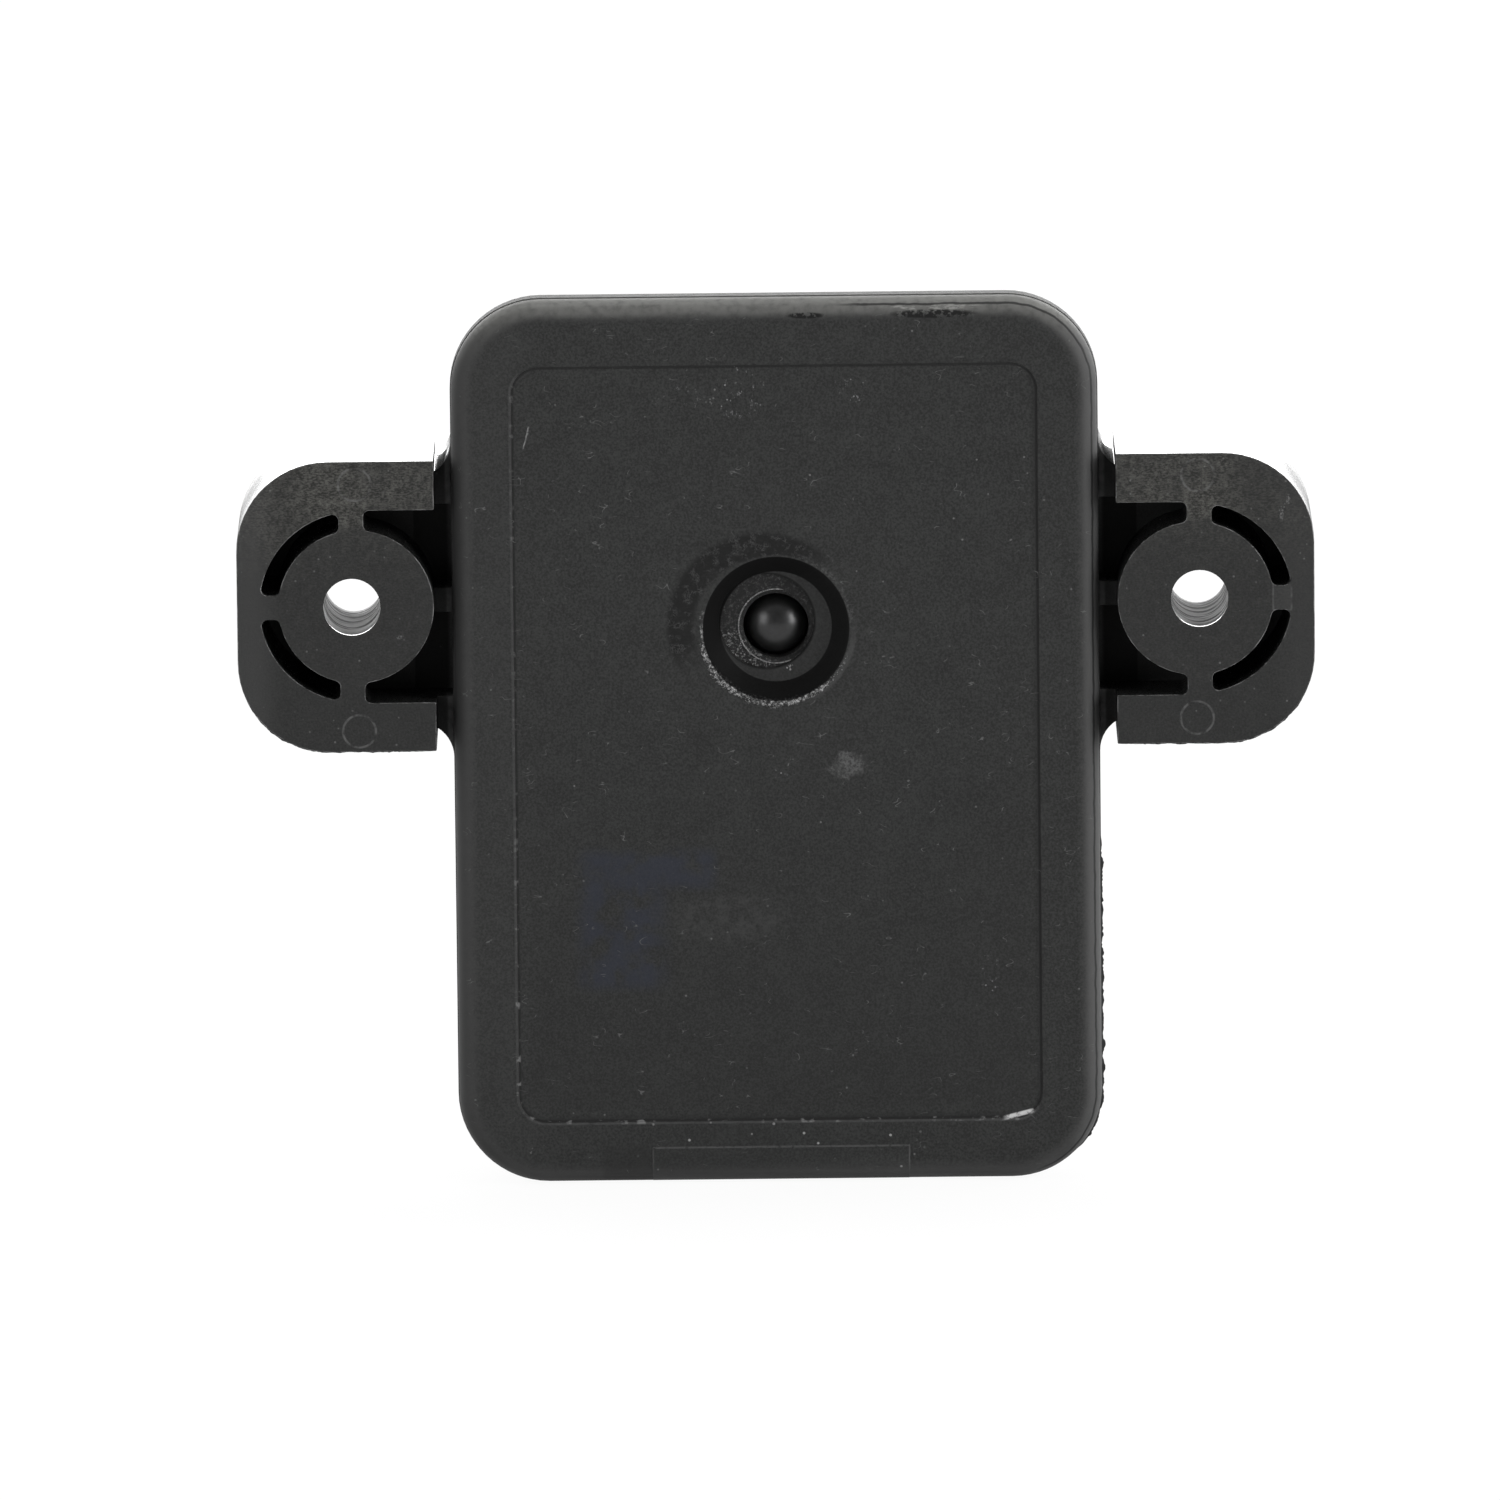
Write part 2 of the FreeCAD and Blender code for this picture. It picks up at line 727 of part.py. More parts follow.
def pressure_die():
    half = die_size / 2
    return box(-half, half, cell_base_depth, cell_base_depth + die_thick, port_z - half, port_z + half)


def bond_ribbons():
    """Thin ribbons that bow from the die down to the base, two on each side."""
    ribbons = []
    die_top = cell_base_depth + die_thick + ribbon_thick / 2
    foot = cell_base_depth + ribbon_thick / 2
    for sign in (1, -1):
        for row in (-0.5, 0.5):
            z = port_z + row * ribbon_pitch
            edge = sign * die_size / 2
            step = sign * ribbon_span / 3
            points = [at(edge - step, die_top, z), at(edge, die_top + ribbon_rise, z),
                      at(edge + step, die_top + ribbon_rise, z), at(edge + 2 * step, foot, z),
                      at(edge + 3 * step, foot, z)]
            ribbons.append(flat_strip(points, ribbon_width, ribbon_thick))
    return Part.makeCompound(ribbons)


def die_gel():
    """Soft gel that covers the die and its ribbons in the bottom of the cup."""
    shape = cylinder(cap_d - 2 * cap_wall, cell_base_depth, cell_base_depth + gel_depth, 0, port_z)
    shape = shape.cut(pressure_die())
    for ribbon in bond_ribbons().Solids:
        shape = shape.cut(ribbon)
    return single(shape)


def cell_leads():
    """Flat leads from both sides of the cell's base to the board."""
    leads = []
    for index in range(cell_lead_count):
        z = port_z + (index - (cell_lead_count - 1) / 2) * cell_lead_pitch
        for sign in (1, -1):
            edge_x = math.sqrt((cell_base_d / 2) ** 2 - (abs(z - port_z) + cell_lead_width / 2) ** 2)
            x_pair = sorted((sign * edge_x, sign * (cell_base_d / 2 + cell_lead_reach)))
            lead = box(*x_pair, board_front_depth, board_front_depth + cell_lead_thick,
                       z - cell_lead_width / 2, z + cell_lead_width / 2)
            leads.append(single(lead.cut(cell_base())))
    return Part.makeCompound(leads)


# Port pieces
def port_gasket():
    """Rubber ring squeezed between the cell's cap and the housing's floor, round the spigot."""
    ring = cylinder(gasket_outer_d, cap_top_depth, floor_depth, 0, port_z)
    return ring.cut(cylinder(gasket_inner_d, cap_top_depth - eps, floor_depth + eps, 0, port_z))


def port_filter():
    near = floor_depth - spigot_height
    return cylinder(filter_d, near, near + filter_thick, 0, port_z)


def tail_outline(x, margin, depth):
    """Closed rectangle round a terminal's tail, on the plane at this depth."""
    half_x = blade_width / 2 + margin
    half_z = blade_thick / 2 + margin
    signs = [(-1, -1), (1, -1), (1, 1), (-1, 1), (-1, -1)]
    return Part.makePolygon([at(x + sign_x * half_x, depth, terminal_tail_z + sign_z * half_z)
                             for sign_x, sign_z in signs])


def terminal_solder():
    """Solder that rises round the three tails, on the front of the board."""
    top = board_front_depth + solder_height
    fillets = []
    for x in blade_places():
        shape = Part.makeLoft([tail_outline(x, solder_spread, board_front_depth),
                               tail_outline(x, solder_spread / 4, top)], True, True)
        tail = slab(tail_outline(x, 0, board_front_depth), solder_height)
        fillets.append(single(shape.cut(tail)))
    return Part.makeCompound(fillets)


def build():
    left, middle, right = blade_places()
    return {
        "housing": housing(),
        "back_cover": back_cover(),
        "cover_seal": cover_seal(),
        "sealing_ball": sealing_ball(),
        "circuit_board": circuit_board(),
        "amplifier_chip": amplifier_chip(),
        "amplifier_leads": chip_leads(),
        "trim_resistors": trim_resistors(),
        "filter_capacitors": filter_capacitors(),
        "reservoir_capacitor": reservoir_capacitor(),
        "surge_diode": surge_diode(),
        "cell_base": cell_base(),
        "cell_cap": cell_cap(),
        "cell_leads": cell_leads(),
        "pressure_die": pressure_die(),
        "bond_ribbons": bond_ribbons(),
        "die_gel": die_gel(),
        "port_gasket": port_gasket(),
        "port_filter": port_filter(),
        "terminal_ground": terminal(left),
        "terminal_signal": terminal(middle),
        "terminal_supply": terminal(right),
        "terminal_potting": terminal_potting(),
        "terminal_solder": terminal_solder(),
    }


os.makedirs("parts", exist_ok=True)
for name, shape in build().items():
    shape.exportStep("parts/" + name + ".step")
    print(name, len(shape.Solids), "solids,", round(shape.Volume, 1), "mm3, valid", shape.isValid())
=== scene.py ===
# %% [markdown]
# # A manifold absolute pressure sensor, seen from its cover side
# The sensor is a black moulded housing with two bolt ears, closed at the back by a glued cover.
# A ball pressed into a round recess seals the vacuum hole of the cover.
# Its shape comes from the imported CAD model, and this lesson gives it edges, finishes, light and a camera.
# Everything is in metres, in the CAD model's own frame: X runs along the ears, Z is up, and the cover faces -Y.

# %% The frame
import math
import random

import bmesh
import bpy
from mathutils import Matrix, Quaternion, Vector, noise


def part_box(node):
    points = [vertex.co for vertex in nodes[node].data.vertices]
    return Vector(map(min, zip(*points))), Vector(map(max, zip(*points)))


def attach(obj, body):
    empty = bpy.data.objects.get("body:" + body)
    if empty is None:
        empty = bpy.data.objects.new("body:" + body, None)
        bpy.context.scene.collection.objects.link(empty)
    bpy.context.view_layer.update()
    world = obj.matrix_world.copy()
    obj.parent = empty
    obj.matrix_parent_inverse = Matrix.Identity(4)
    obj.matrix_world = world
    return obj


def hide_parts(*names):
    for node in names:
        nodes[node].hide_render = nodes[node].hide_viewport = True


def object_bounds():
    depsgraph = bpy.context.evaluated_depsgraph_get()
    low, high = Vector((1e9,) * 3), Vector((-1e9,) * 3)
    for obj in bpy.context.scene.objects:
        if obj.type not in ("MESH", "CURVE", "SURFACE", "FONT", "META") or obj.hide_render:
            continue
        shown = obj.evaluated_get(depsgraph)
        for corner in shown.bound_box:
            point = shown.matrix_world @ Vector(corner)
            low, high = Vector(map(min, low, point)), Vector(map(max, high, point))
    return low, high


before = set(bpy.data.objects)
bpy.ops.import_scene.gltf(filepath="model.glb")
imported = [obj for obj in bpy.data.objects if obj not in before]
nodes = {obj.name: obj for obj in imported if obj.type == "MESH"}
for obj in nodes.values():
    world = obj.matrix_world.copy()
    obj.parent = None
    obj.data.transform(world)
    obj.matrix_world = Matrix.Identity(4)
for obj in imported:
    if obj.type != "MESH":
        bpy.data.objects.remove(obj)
scene = bpy.context.scene
cad_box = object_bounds()
mm = 0.001
print("CAD nodes:", len(nodes), "box in mm:", [round(side / mm, 1) for side in cad_box[1] - cad_box[0]])

# %% [markdown]
# ## Camera
# The photograph is taken from far away with a long lens, so there is hardly any perspective.
# Both ears' holes show a sliver of their lower wall, which puts the camera about 10 degrees above the object.
# The object leans about half a degree to the left, so the camera is rolled by that much the other way.
# An orthographic camera would come close, but a long lens keeps the slight narrowing towards the back.

# %% Camera
camera_tilt = math.radians(10.3)
camera_roll = math.radians(-0.6)
camera_distance = 2.3
camera_aim = Vector((-2.66, 0, -14.55)) * mm
towards_camera = Vector((0, -math.cos(camera_tilt), math.sin(camera_tilt)))

lens = bpy.data.cameras.new("long_lens")
lens.lens = 566
lens.sensor_width = 36
lens.clip_start = 0.1
lens.clip_end = 50
camera = bpy.data.objects.new("camera", lens)
scene.collection.objects.link(camera)
camera.rotation_mode = "QUATERNION"
camera.location = camera_aim + towards_camera * camera_distance
camera.rotation_quaternion = (-towards_camera).to_track_quat("-Z", "Y") @ Quaternion((0, 0, 1), camera_roll)
scene.camera = camera
scene.view_settings.view_transform = "Standard"
print("camera at", [round(value, 3) for value in camera.location])

# %% [markdown]
# ## Writing shaders as sums
# A finish is a tree of nodes, and a tree built by hand in code is hard to read.
# Here a small class holds one output of a node and knows +, -, *, / and powers, so a mask is written as a sum.
# Each sum adds one Math node, and any other node comes from one method of the tree.

# %% A wire
class Wire:
    """One output of a shader node, which can be used in Python sums."""

    def __init__(self, tree, socket):
        self.tree = tree
        self.socket = socket

    def maths(self, operation, first, second=0.0):
        return self.tree.node("ShaderNodeMath", {"operation": operation}, {0: first, 1: second})

    def __add__(self, other):
        return self.maths("ADD", self, other)

    def __radd__(self, other):
        return self.maths("ADD", other, self)

    def __sub__(self, other):
        return self.maths("SUBTRACT", self, other)

    def __rsub__(self, other):
        return self.maths("SUBTRACT", other, self)

    def __mul__(self, other):
        return self.maths("MULTIPLY", self, other)

    def __rmul__(self, other):
        return self.maths("MULTIPLY", other, self)

    def __truediv__(self, other):
        return self.maths("DIVIDE", self, other)

    def __rtruediv__(self, other):
        return self.maths("DIVIDE", other, self)

    def __pow__(self, other):
        return self.maths("POWER", self, other)

    def __abs__(self):
        return self.maths("ABSOLUTE", self)

    def whole(self):
        return self.maths("FLOOR", self)

    def at_least(self, other):
        return self.maths("MAXIMUM", self, other)

    def at_most(self, other):
        return self.maths("MINIMUM", self, other)


# %% A tree
class Tree:
    """A node tree with one method that adds any node and a few that are used again and again."""

    def __init__(self, tree):
        self.tree = tree

    def node(self, kind, settings=None, sockets=None, output=0):
        made = self.tree.nodes.new(kind)
        for name, value in (settings or {}).items():
            setattr(made, name, value)
        for key, value in (sockets or {}).items():
            if isinstance(value, Wire):
                self.tree.links.new(value.socket, made.inputs[key])
            else:
                made.inputs[key].default_value = value
        return Wire(self, made.outputs[output])

    def fade(self, value, low, high, start=0.0, end=1.0):
        """A soft step: start below low, end above high."""
        return self.node("ShaderNodeMapRange", {"interpolation_type": "SMOOTHSTEP"},
                         {0: value, 1: low, 2: high, 3: start, 4: end})

    def ray(self, kind):
        """1 where a ray of one kind arrives, such as Camera, and 0 elsewhere."""
        return self.node("ShaderNodeLightPath", None, None, f"Is {kind} Ray")

    def blend(self, share, first, second):
        """Two colours mixed by a share from 0 to 1."""
        return self.node("ShaderNodeMix", {"data_type": "RGBA"}, {0: share, 6: first, 7: second}, 2)


print("shader helpers ready")

# %% [markdown]
# ## Light
# The photograph is lit like a catalogue picture: a white sweep behind the object that also glints off every wall
# seen at a slant, a darker room behind the camera, and two soft boxes, whose reflections show on the ball.
# An evenly white world would light the deep pockets of the ears from the front, which are black in the photograph.
# So the world is white behind and above the object and dimmer on the camera's side, and the camera itself sees white.
# Four more lamps, behind, above and on both sides, light the walls that face away from the two boxes.

# %% World
world = bpy.data.worlds.new("studio")
world.use_nodes = True
scene.world = world
sky = Tree(world.node_tree)
backdrop = world.node_tree.nodes["Background"]
direction = sky.node("ShaderNodeTexCoord", None, None, "Generated")
behind = sky.node("ShaderNodeSeparateXYZ", None, {0: direction}, "Y")
above = sky.node("ShaderNodeSeparateXYZ", None, {0: direction}, "Z")
front_level = 0.19
beyond = sky.fade(behind + above * 0.25, -0.75, 0.15)
room = front_level + beyond * (0.85 - front_level)
strength = room.at_least(sky.ray("Camera")).at_least(sky.ray("Transmission")).at_least(sky.ray("Glossy") * beyond)
world.node_tree.links.new(strength.socket, backdrop.inputs["Strength"])
backdrop.inputs["Color"].default_value = (1, 1, 1, 1)
print("the world's level on the camera's side:", front_level)


# %% Lamps
def soft_box(name, place, width, height, power):
    """A lamp that points at the sensor's middle and is never in the picture."""
    lamp = bpy.data.lights.new(name, "AREA")
    lamp.shape = "RECTANGLE"
    lamp.size = width
    lamp.size_y = height
    lamp.energy = power
    holder = bpy.data.objects.new(name, lamp)
    scene.collection.objects.link(holder)
    holder.location = place
    holder.rotation_mode = "QUATERNION"
    holder.rotation_quaternion = (camera_aim - holder.location).to_track_quat("-Z", "Y")
    holder.visible_camera = False
    print(name, "at", place, "gives", power, "W")


soft_box("box_right", (1.16, -0.51, 0.28), 0.5, 0.66, 13)
soft_box("box_left", (-0.92, -0.86, 0.33), 0.56, 0.7, 5.6)
soft_box("box_behind", (0.1, 1.5, 0.4), 4.0, 0.8, 48)
soft_box("box_above", (0.1, 0.35, 1.0), 0.8, 0.4, 7)
soft_box("side_right", (1.1, 0.4, 0.2), 0.5, 0.8, 11)
soft_box("side_left", (-1.1, 0.4, 0.2), 0.5, 0.8, 6)

# %% [markdown]
# ## Floor
# The sensor stands on the flange's lower edge and the connector's mouth, on a pale floor that the camera sees white.
# The floor would need strong light to clip to white, which would spoil the sensor's own tones.
# Instead its material glows for the camera and for reflections, and a small share of it stays matt,
# so the shadow remains.

# %% Floor
def material_named(name):
    material = bpy.data.materials.new(name)
    material.use_nodes = True
    return material


floor_shape = bmesh.new()
bmesh.ops.create_circle(floor_shape, cap_ends=True, segments=96, radius=3.0)
bmesh.ops.translate(floor_shape, verts=floor_shape.verts, vec=(0, 0, cad_box[0].z))
floor_mesh = bpy.data.meshes.new("floor")
floor_shape.to_mesh(floor_mesh)
floor_shape.free()
floor = bpy.data.objects.new("floor", floor_mesh)
scene.collection.objects.link(floor)

floor_finish = material_named("pale_floor")
floor_tree = Tree(floor_finish.node_tree)
floor_base = floor_finish.node_tree.nodes["Principled BSDF"]
floor_base.inputs["Base Color"].default_value = (0.8, 0.8, 0.8, 1)
floor_base.inputs["Roughness"].default_value = 0.9
seen = (floor_tree.ray("Camera") + floor_tree.ray("Glossy") + floor_tree.ray("Transmission")).at_most(1.0)
glow = floor_tree.node("ShaderNodeEmission", None, {"Color": (1, 1, 1, 1), "Strength": 1.0})
floor_mix = floor_tree.node("ShaderNodeMixShader", None,
                            {0: seen * 0.94, 1: Wire(floor_tree, floor_base.outputs[0]), 2: glow})
floor_tree.tree.links.new(floor_mix.socket, floor_tree.tree.nodes["Material Output"].inputs["Surface"])
floor.data.materials.append(floor_finish)
print("floor at", round(cad_box[0].z / mm, 2), "mm")


# %% [markdown]
# ## One recipe for every finish
# All finishes start alike: a Principled shader, and the place on the object in millimetres,
# so that a grain of 0.2 mm is written as 0.2 and keeps its size on any piece.
# A mask is a number from 0 to 1 over the surface, made of noises, of distances to a place, or of both.

# %% Finish
class Finish(Tree):
    """A material with its place in millimetres, its noises and its masks."""

    def __init__(self, name, colour, roughness, metallic=0.0, gloss=0.5):
        self.material = material_named(name)
        super().__init__(self.material.node_tree)
        self.shader = self.tree.nodes["Principled BSDF"]
        self.colour = (*colour[:3], 1)
        self.set("Base Color", self.colour)
        self.set("Roughness", roughness)
        self.set("Metallic", metallic)
        self.set("Specular IOR Level", gloss)
        metres = self.node("ShaderNodeTexCoord", None, None, "Object")
        self.place = self.node("ShaderNodeVectorMath", {"operation": "SCALE"},
                               {0: metres, "Scale": 1 / mm})
        self.x, self.y, self.z = (self.node("ShaderNodeSeparateXYZ", None, {0: self.place}, axis) for axis in "XYZ")

    def set(self, socket, value):
        if isinstance(value, Wire):
            self.tree.links.new(value.socket, self.shader.inputs[socket])
        else:
            self.shader.inputs[socket].default_value = value

    def paint(self, share, tone):
        """Cover a share of the surface, from 0 to 1, with another colour."""
        self.colour = self.blend(share, self.colour, tone)
        self.set("Base Color", self.colour)

    def noise(self, size, detail=2.0, at=None, roughness=0.5):
        """Cloudy noise from 0 to 1, whose lumps are about the size given in millimetres."""
        return self.node("ShaderNodeTexNoise", None,
                         {"Vector": at or self.place, "Scale": 1 / size, "Detail": detail,
                          "Roughness": roughness})

    def patches(self, size, low, high, detail=2.0, roughness=0.5):
        """Scattered patches: a noise cut into a mask between two levels."""
        return self.fade(self.noise(size, detail, roughness=roughness), low, high)

    def grains(self, size):
        """Distance to the nearest of many scattered points, for specks and pits."""
        return self.node("ShaderNodeTexVoronoi", None,
                         {"Vector": self.place, "Scale": 1 / size}, "Distance")

    def stretched(self, x, y, z):
        """The place with each axis scaled, so that a noise runs out into streaks."""
        return self.node("ShaderNodeVectorMath", {"operation": "MULTIPLY"}, {0: self.place, 1: (x, y, z)})

    def facing(self, axis):
        """How far the surface faces along an axis, from -1 to 1."""
        normal = self.node("ShaderNodeNewGeometry", None, None, "Normal")
        return self.node("ShaderNodeSeparateXYZ", None, {0: normal}, axis)

    def bump(self, height, strength=1.0):
        """Relief whose height is in millimetres."""
        normal = self.node("ShaderNodeBump", None,
                           {"Strength": strength, "Distance": mm, "Height": height})
        self.set("Normal", normal)

    def shade(self, share):
        """Turn a share of the surface into near-black, nearly matt plastic, for painted shade and dark marks."""
        dark = self.node("ShaderNodeBsdfPrincipled", None,
                         {"Base Color": grey(0.003), "Roughness": 0.7, "Specular IOR Level": 0.04})
        both = self.node("ShaderNodeMixShader", None,
                         {0: share, 1: Wire(self, self.shader.outputs[0]), 2: dark})
        self.tree.links.new(both.socket, self.tree.nodes["Material Output"].inputs["Surface"])

    def reach(self, x, z, wide=1.0, high=1.0):
        """Distance in the plane of the cover from a place, in units of an ellipse."""
        return (((self.x - x) / wide) ** 2 + ((self.z - z) / high) ** 2) ** 0.5

    def spot(self, x, z, wide, high):
        """A soft elliptical mask round a place on the cover or the ears."""
        return self.fade(self.reach(x, z, wide, high), 1.0, 0.6)

    def outline(self, x, z, half_wide, half_high, radius):
        """Signed distance to a rectangle with round corners in the plane of the cover."""
        side = abs(self.x - x) - (half_wide - radius)
        rise = abs(self.z - z) - (half_high - radius)
        corner = (side.at_least(0.0) ** 2 + rise.at_least(0.0) ** 2) ** 0.5
        return corner + side.at_least(rise).at_most(0.0) - radius


def grey(level):
    return (level, level, level, 1)


# %% [markdown]
# ## Moulded plastic
# Housing and cover are glass-filled plastic: nearly black, matt, with a fine mottle where fibres lie
# close under the skin, and a few pale grains that catch the light.
# A flat dark grey would look like paint. The mottle comes from two noises of different size,
# the grains from scattered points, and both move colour, roughness and relief together.
# Walls that slid along the mould's steel are smoother than faces that took its spark-eroded texture,
# and the ears' tops, rubbed by handling, are smoothest: seen at a slant they mirror the white sweep behind.

# %% Plastic
def plastic(name):
    """The moulded plastic of housing and cover: its finish, its fine noise and a mask of its walls."""
    made = Finish(name, grey(0.008), 0.5, gloss=0.25)
    fine = made.noise(0.22, 3.0, roughness=0.65)
    clouds = made.noise(3.0, 3.0)
    mottle = made.fade(fine * 0.86 + clouds * 0.14, 0.33, 0.67)
    wall = made.fade(abs(made.facing("Y")), 0.6, 0.25)
    made.paint(mottle, (0.0228, 0.0238, 0.0231, 1))
    dust = made.fade(made.grains(1.9), 0.075, 0.03) * made.patches(5.0, 0.46, 0.62)
    made.paint(dust * 0.6, grey(0.14))
    return made, fine, wall


print("plastic: mottle of 0.22 mm on clouds of 3 mm")

# %% [markdown]
# ## Sizes that the marks follow
# Marks lie along edges of the CAD model, whose sizes are named once, in millimetres. Depths run along Y.

# %% Sizes
bolt_x, hole_r = 41.3, 2.8
flange_half_x, flange_half_z, flange_z, corner_r = 31.55, 43.8, -14.0, 8.9
joint_y, hood_y = 3.2, 5.2
cover_inset = 0.1
ear_corner_x, ear_corner_z, ear_low = 43.6, -5.45, -14.35
recess_x, recess_z = 0.0, -2.7
mouth_r, floor_r, floor_y = 7.2, 5.45, 2.1
spot_x, spot_z, spot_r, seat_y = -0.9, recess_z + 0.55, 4.7, 2.35
print("body of", 2 * flange_half_x, "by", 2 * flange_half_z, "mm, recess mouth", 2 * mouth_r, "mm across")

# %% [markdown]
# ## The housing's finish
# On the ears the upper halves are weathered to a slightly warm, chalky grey with a coarse grain,
# while the bosses and lower arms stay smooth and black. The ejector pins have left four thin circles.
# The bolt holes were drilled, which left fine rings round their walls, and the walls carry a painted reflection.

# %% Housing finish
shell, fine, wall = plastic("moulded_housing")
shell.paint(0.38, grey(0.009))
on_pad = shell.fade(shell.y, 1.2, 0.2)
from_bolt = shell.reach(-bolt_x, 0).at_most(shell.reach(bolt_x, 0))
upper = shell.fade(shell.z + shell.noise(4.0, 2.0) * 4, 3.5, 11.0)
fibres = shell.noise(0.16, 4.0, shell.stretched(0.45, 1, 1), 0.75)
coarse = fibres * 0.65 + shell.noise(0.9, 4.0, roughness=0.65) * 0.35
weathered = on_pad * upper * (shell.fade(from_bolt, 7.4, 8.4) * 0.7 + 0.3)
weathered = weathered * (1 - shell.fade(shell.x, 42, 47) * 0.65) * shell.fade(abs(shell.x), 34, 39, 0.7, 1.0)
weathered = weathered * shell.fade(shell.noise(5.0, 2.0), 0.25, 0.6, 0.5, 1.0) * (1 - wall)
chalky = shell.blend(shell.fade(coarse, 0.42, 0.62), (0.010, 0.010, 0.009, 1), (0.069, 0.068, 0.062, 1))
shell.paint(weathered, chalky)
rubbed_pad = on_pad * (1 - wall) * shell.fade(coarse, 0.45, 0.65) * shell.fade(from_bolt, 9.0, 7.4, 0.12, 0.24)
shell.paint(rubbed_pad, (0.052, 0.051, 0.048, 1))
rim = shell.fade(abs(shell.x), bolt_x + 6.5, bolt_x + 9.8) * on_pad
shell.paint(rim * (0.55 - shell.fade(shell.x, 0, 1) * 0.3), grey(0.034))
grain = shell.fade(shell.grains(1.0), 0.14, 0.06) * on_pad * shell.patches(2.0, 0.45, 0.6)
shell.paint(grain * 0.5, grey(0.13))
print("weathered upper halves, pale rims and grains")

# %% Pin marks, painted edge glints and drilled holes
pins = [(-40.7, -12.3), (41.0, -11.8), (41.2, 12.2), (-40.9, 12.1)]
pin_rings = None
for x, z in pins:
    ring = shell.fade(abs(shell.reach(x, z) - 1.6), 0.16, 0.05)
    pin_rings = ring if pin_rings is None else pin_rings.at_least(ring)
pin_rings = pin_rings * on_pad
pin_light = pin_rings * shell.patches(0.9, 0.35, 0.6)
gate = shell.outline(49.35, 0.1, 0.9, 1.35, 0.2)
gate_mark = shell.fade(abs(gate), 0.14, 0.04) * shell.patches(0.8, 0.35, 0.6) * 0.5
gate_mark = gate_mark + shell.fade(gate, 0.05, -0.05) * 0.12
nicks = shell.spot(50.0, 9.7, 0.3, 0.6).at_least(shell.spot(49.3, 8.3, 0.3, 0.9))
nicks = nicks.at_least(shell.spot(-36.7, -3.0, 0.35, 0.3))
nicks = nicks * shell.patches(0.3, 0.45, 0.6, 4.0, 0.7)
pin_light = (pin_light * 0.5).at_least(gate_mark * on_pad * 0.6).at_least(nicks * on_pad * 0.8)
shell.paint(pin_light, grey(0.1))

# Painted highlight: the pads' eased edges are lightened in noisy patches, as thin glints round the boss, the slots
# and the arms.
turned = abs(shell.facing("Y"))
edge = shell.fade(turned, 0.985, 0.85) * shell.fade(turned, 0.1, 0.35) * on_pad
edge = edge * shell.fade(from_bolt, hole_r + 0.5, hole_r + 0.8)
edge = edge * shell.patches(1.6, 0.42, 0.62, 5.0, 0.7)
shell.paint(edge * 0.8, grey(0.16))
# Painted light on the flange's strip beside the cover, which lies in shade: patches of lighter grey, paler along the
# top. Further down, half of the strip is mixed into the near-black shader.
flange_side = shell.outline(0, flange_z, flange_half_x, flange_half_z, corner_r)
flange_edge = shell.fade(abs(flange_side), 0.75, 0.45) * shell.fade(shell.y, joint_y - 0.2, joint_y - 0.1)
flange_edge = flange_edge * shell.fade(shell.y, hood_y + 0.2, hood_y)
strip_light_patches = shell.patches(0.7, 0.3, 0.65, 3.0)
shell.paint(flange_edge * (0.35 + strip_light_patches * 0.4), grey(0.07))
painted_top_light = flange_edge * shell.fade(shell.z, 27.5, 29.2)
shell.paint(painted_top_light * (0.3 + strip_light_patches * 0.5), (0.12, 0.12, 0.115, 1))
# The drilled walls: fine rings and a painted reflection up to grey 0.62, dimmer at the mouth and towards the far end.
drilled = shell.fade(from_bolt, hole_r + 0.15, hole_r + 0.03) * shell.fade(shell.y, 0.25, 0.35)
rings = shell.noise(0.75, 3.0, shell.stretched(0.12, 1.0, 0.12), 0.6)
rings_and_painted_sheen = shell.fade(rings, 0.40, 0.56) * shell.fade(shell.y, 3.0, 12.0, 1.0, 0.5)
rings_and_painted_sheen = rings_and_painted_sheen * shell.fade(shell.y, 0.3, 3.0, 0.3, 1.0)
shell.paint(drilled, shell.blend(rings_and_painted_sheen, grey(0.04), grey(0.62)))
print("housing finish with", len(pins), "pin marks")

# %% Painted shade in the pockets, polish and relief
beside_x = flange_half_x + 0.05
deep = shell.fade(shell.y, 1.0, 5.0) * shell.fade(abs(shell.x), beside_x, beside_x + 0.6)
deep = deep * shell.fade(shell.y, 12.0, 9.0)
polished = wall * (1 - drilled) * (1 - flange_edge)
ear_top = polished * shell.fade(shell.facing("Z"), 0.1, 0.5) * shell.fade(abs(shell.x), beside_x, beside_x + 0.4)
shell.set("Roughness", 0.52 - polished * 0.1 - ear_top * 0.2 + fine * 0.12 + drilled * 0.3)
shell.set("Coat Weight", ear_top * 0.9)
shell.set("Coat Roughness", 0.12)
# Painted shade: the pockets and the neck beside the body are mixed into the near-black shader, and half of the
# flange's strip as well.
painted_pocket_shade = deep * (1 - drilled) * (1 - wall * 0.4) * 0.5
neck = deep * (1 - wall) * shell.fade(abs(shell.x), 35.6, 35.2)
painted_pocket_shade = painted_pocket_shade.at_least(neck * 0.8)
shell.shade(painted_pocket_shade.at_least(flange_edge * 0.5))
relief = fine * 0.010 + coarse * weathered * 0.03 - pin_rings * 0.03
shell.bump(relief * (1 - polished * 0.8) + drilled * rings * 0.06)
print("pockets darken from 1 to 5 mm deep")
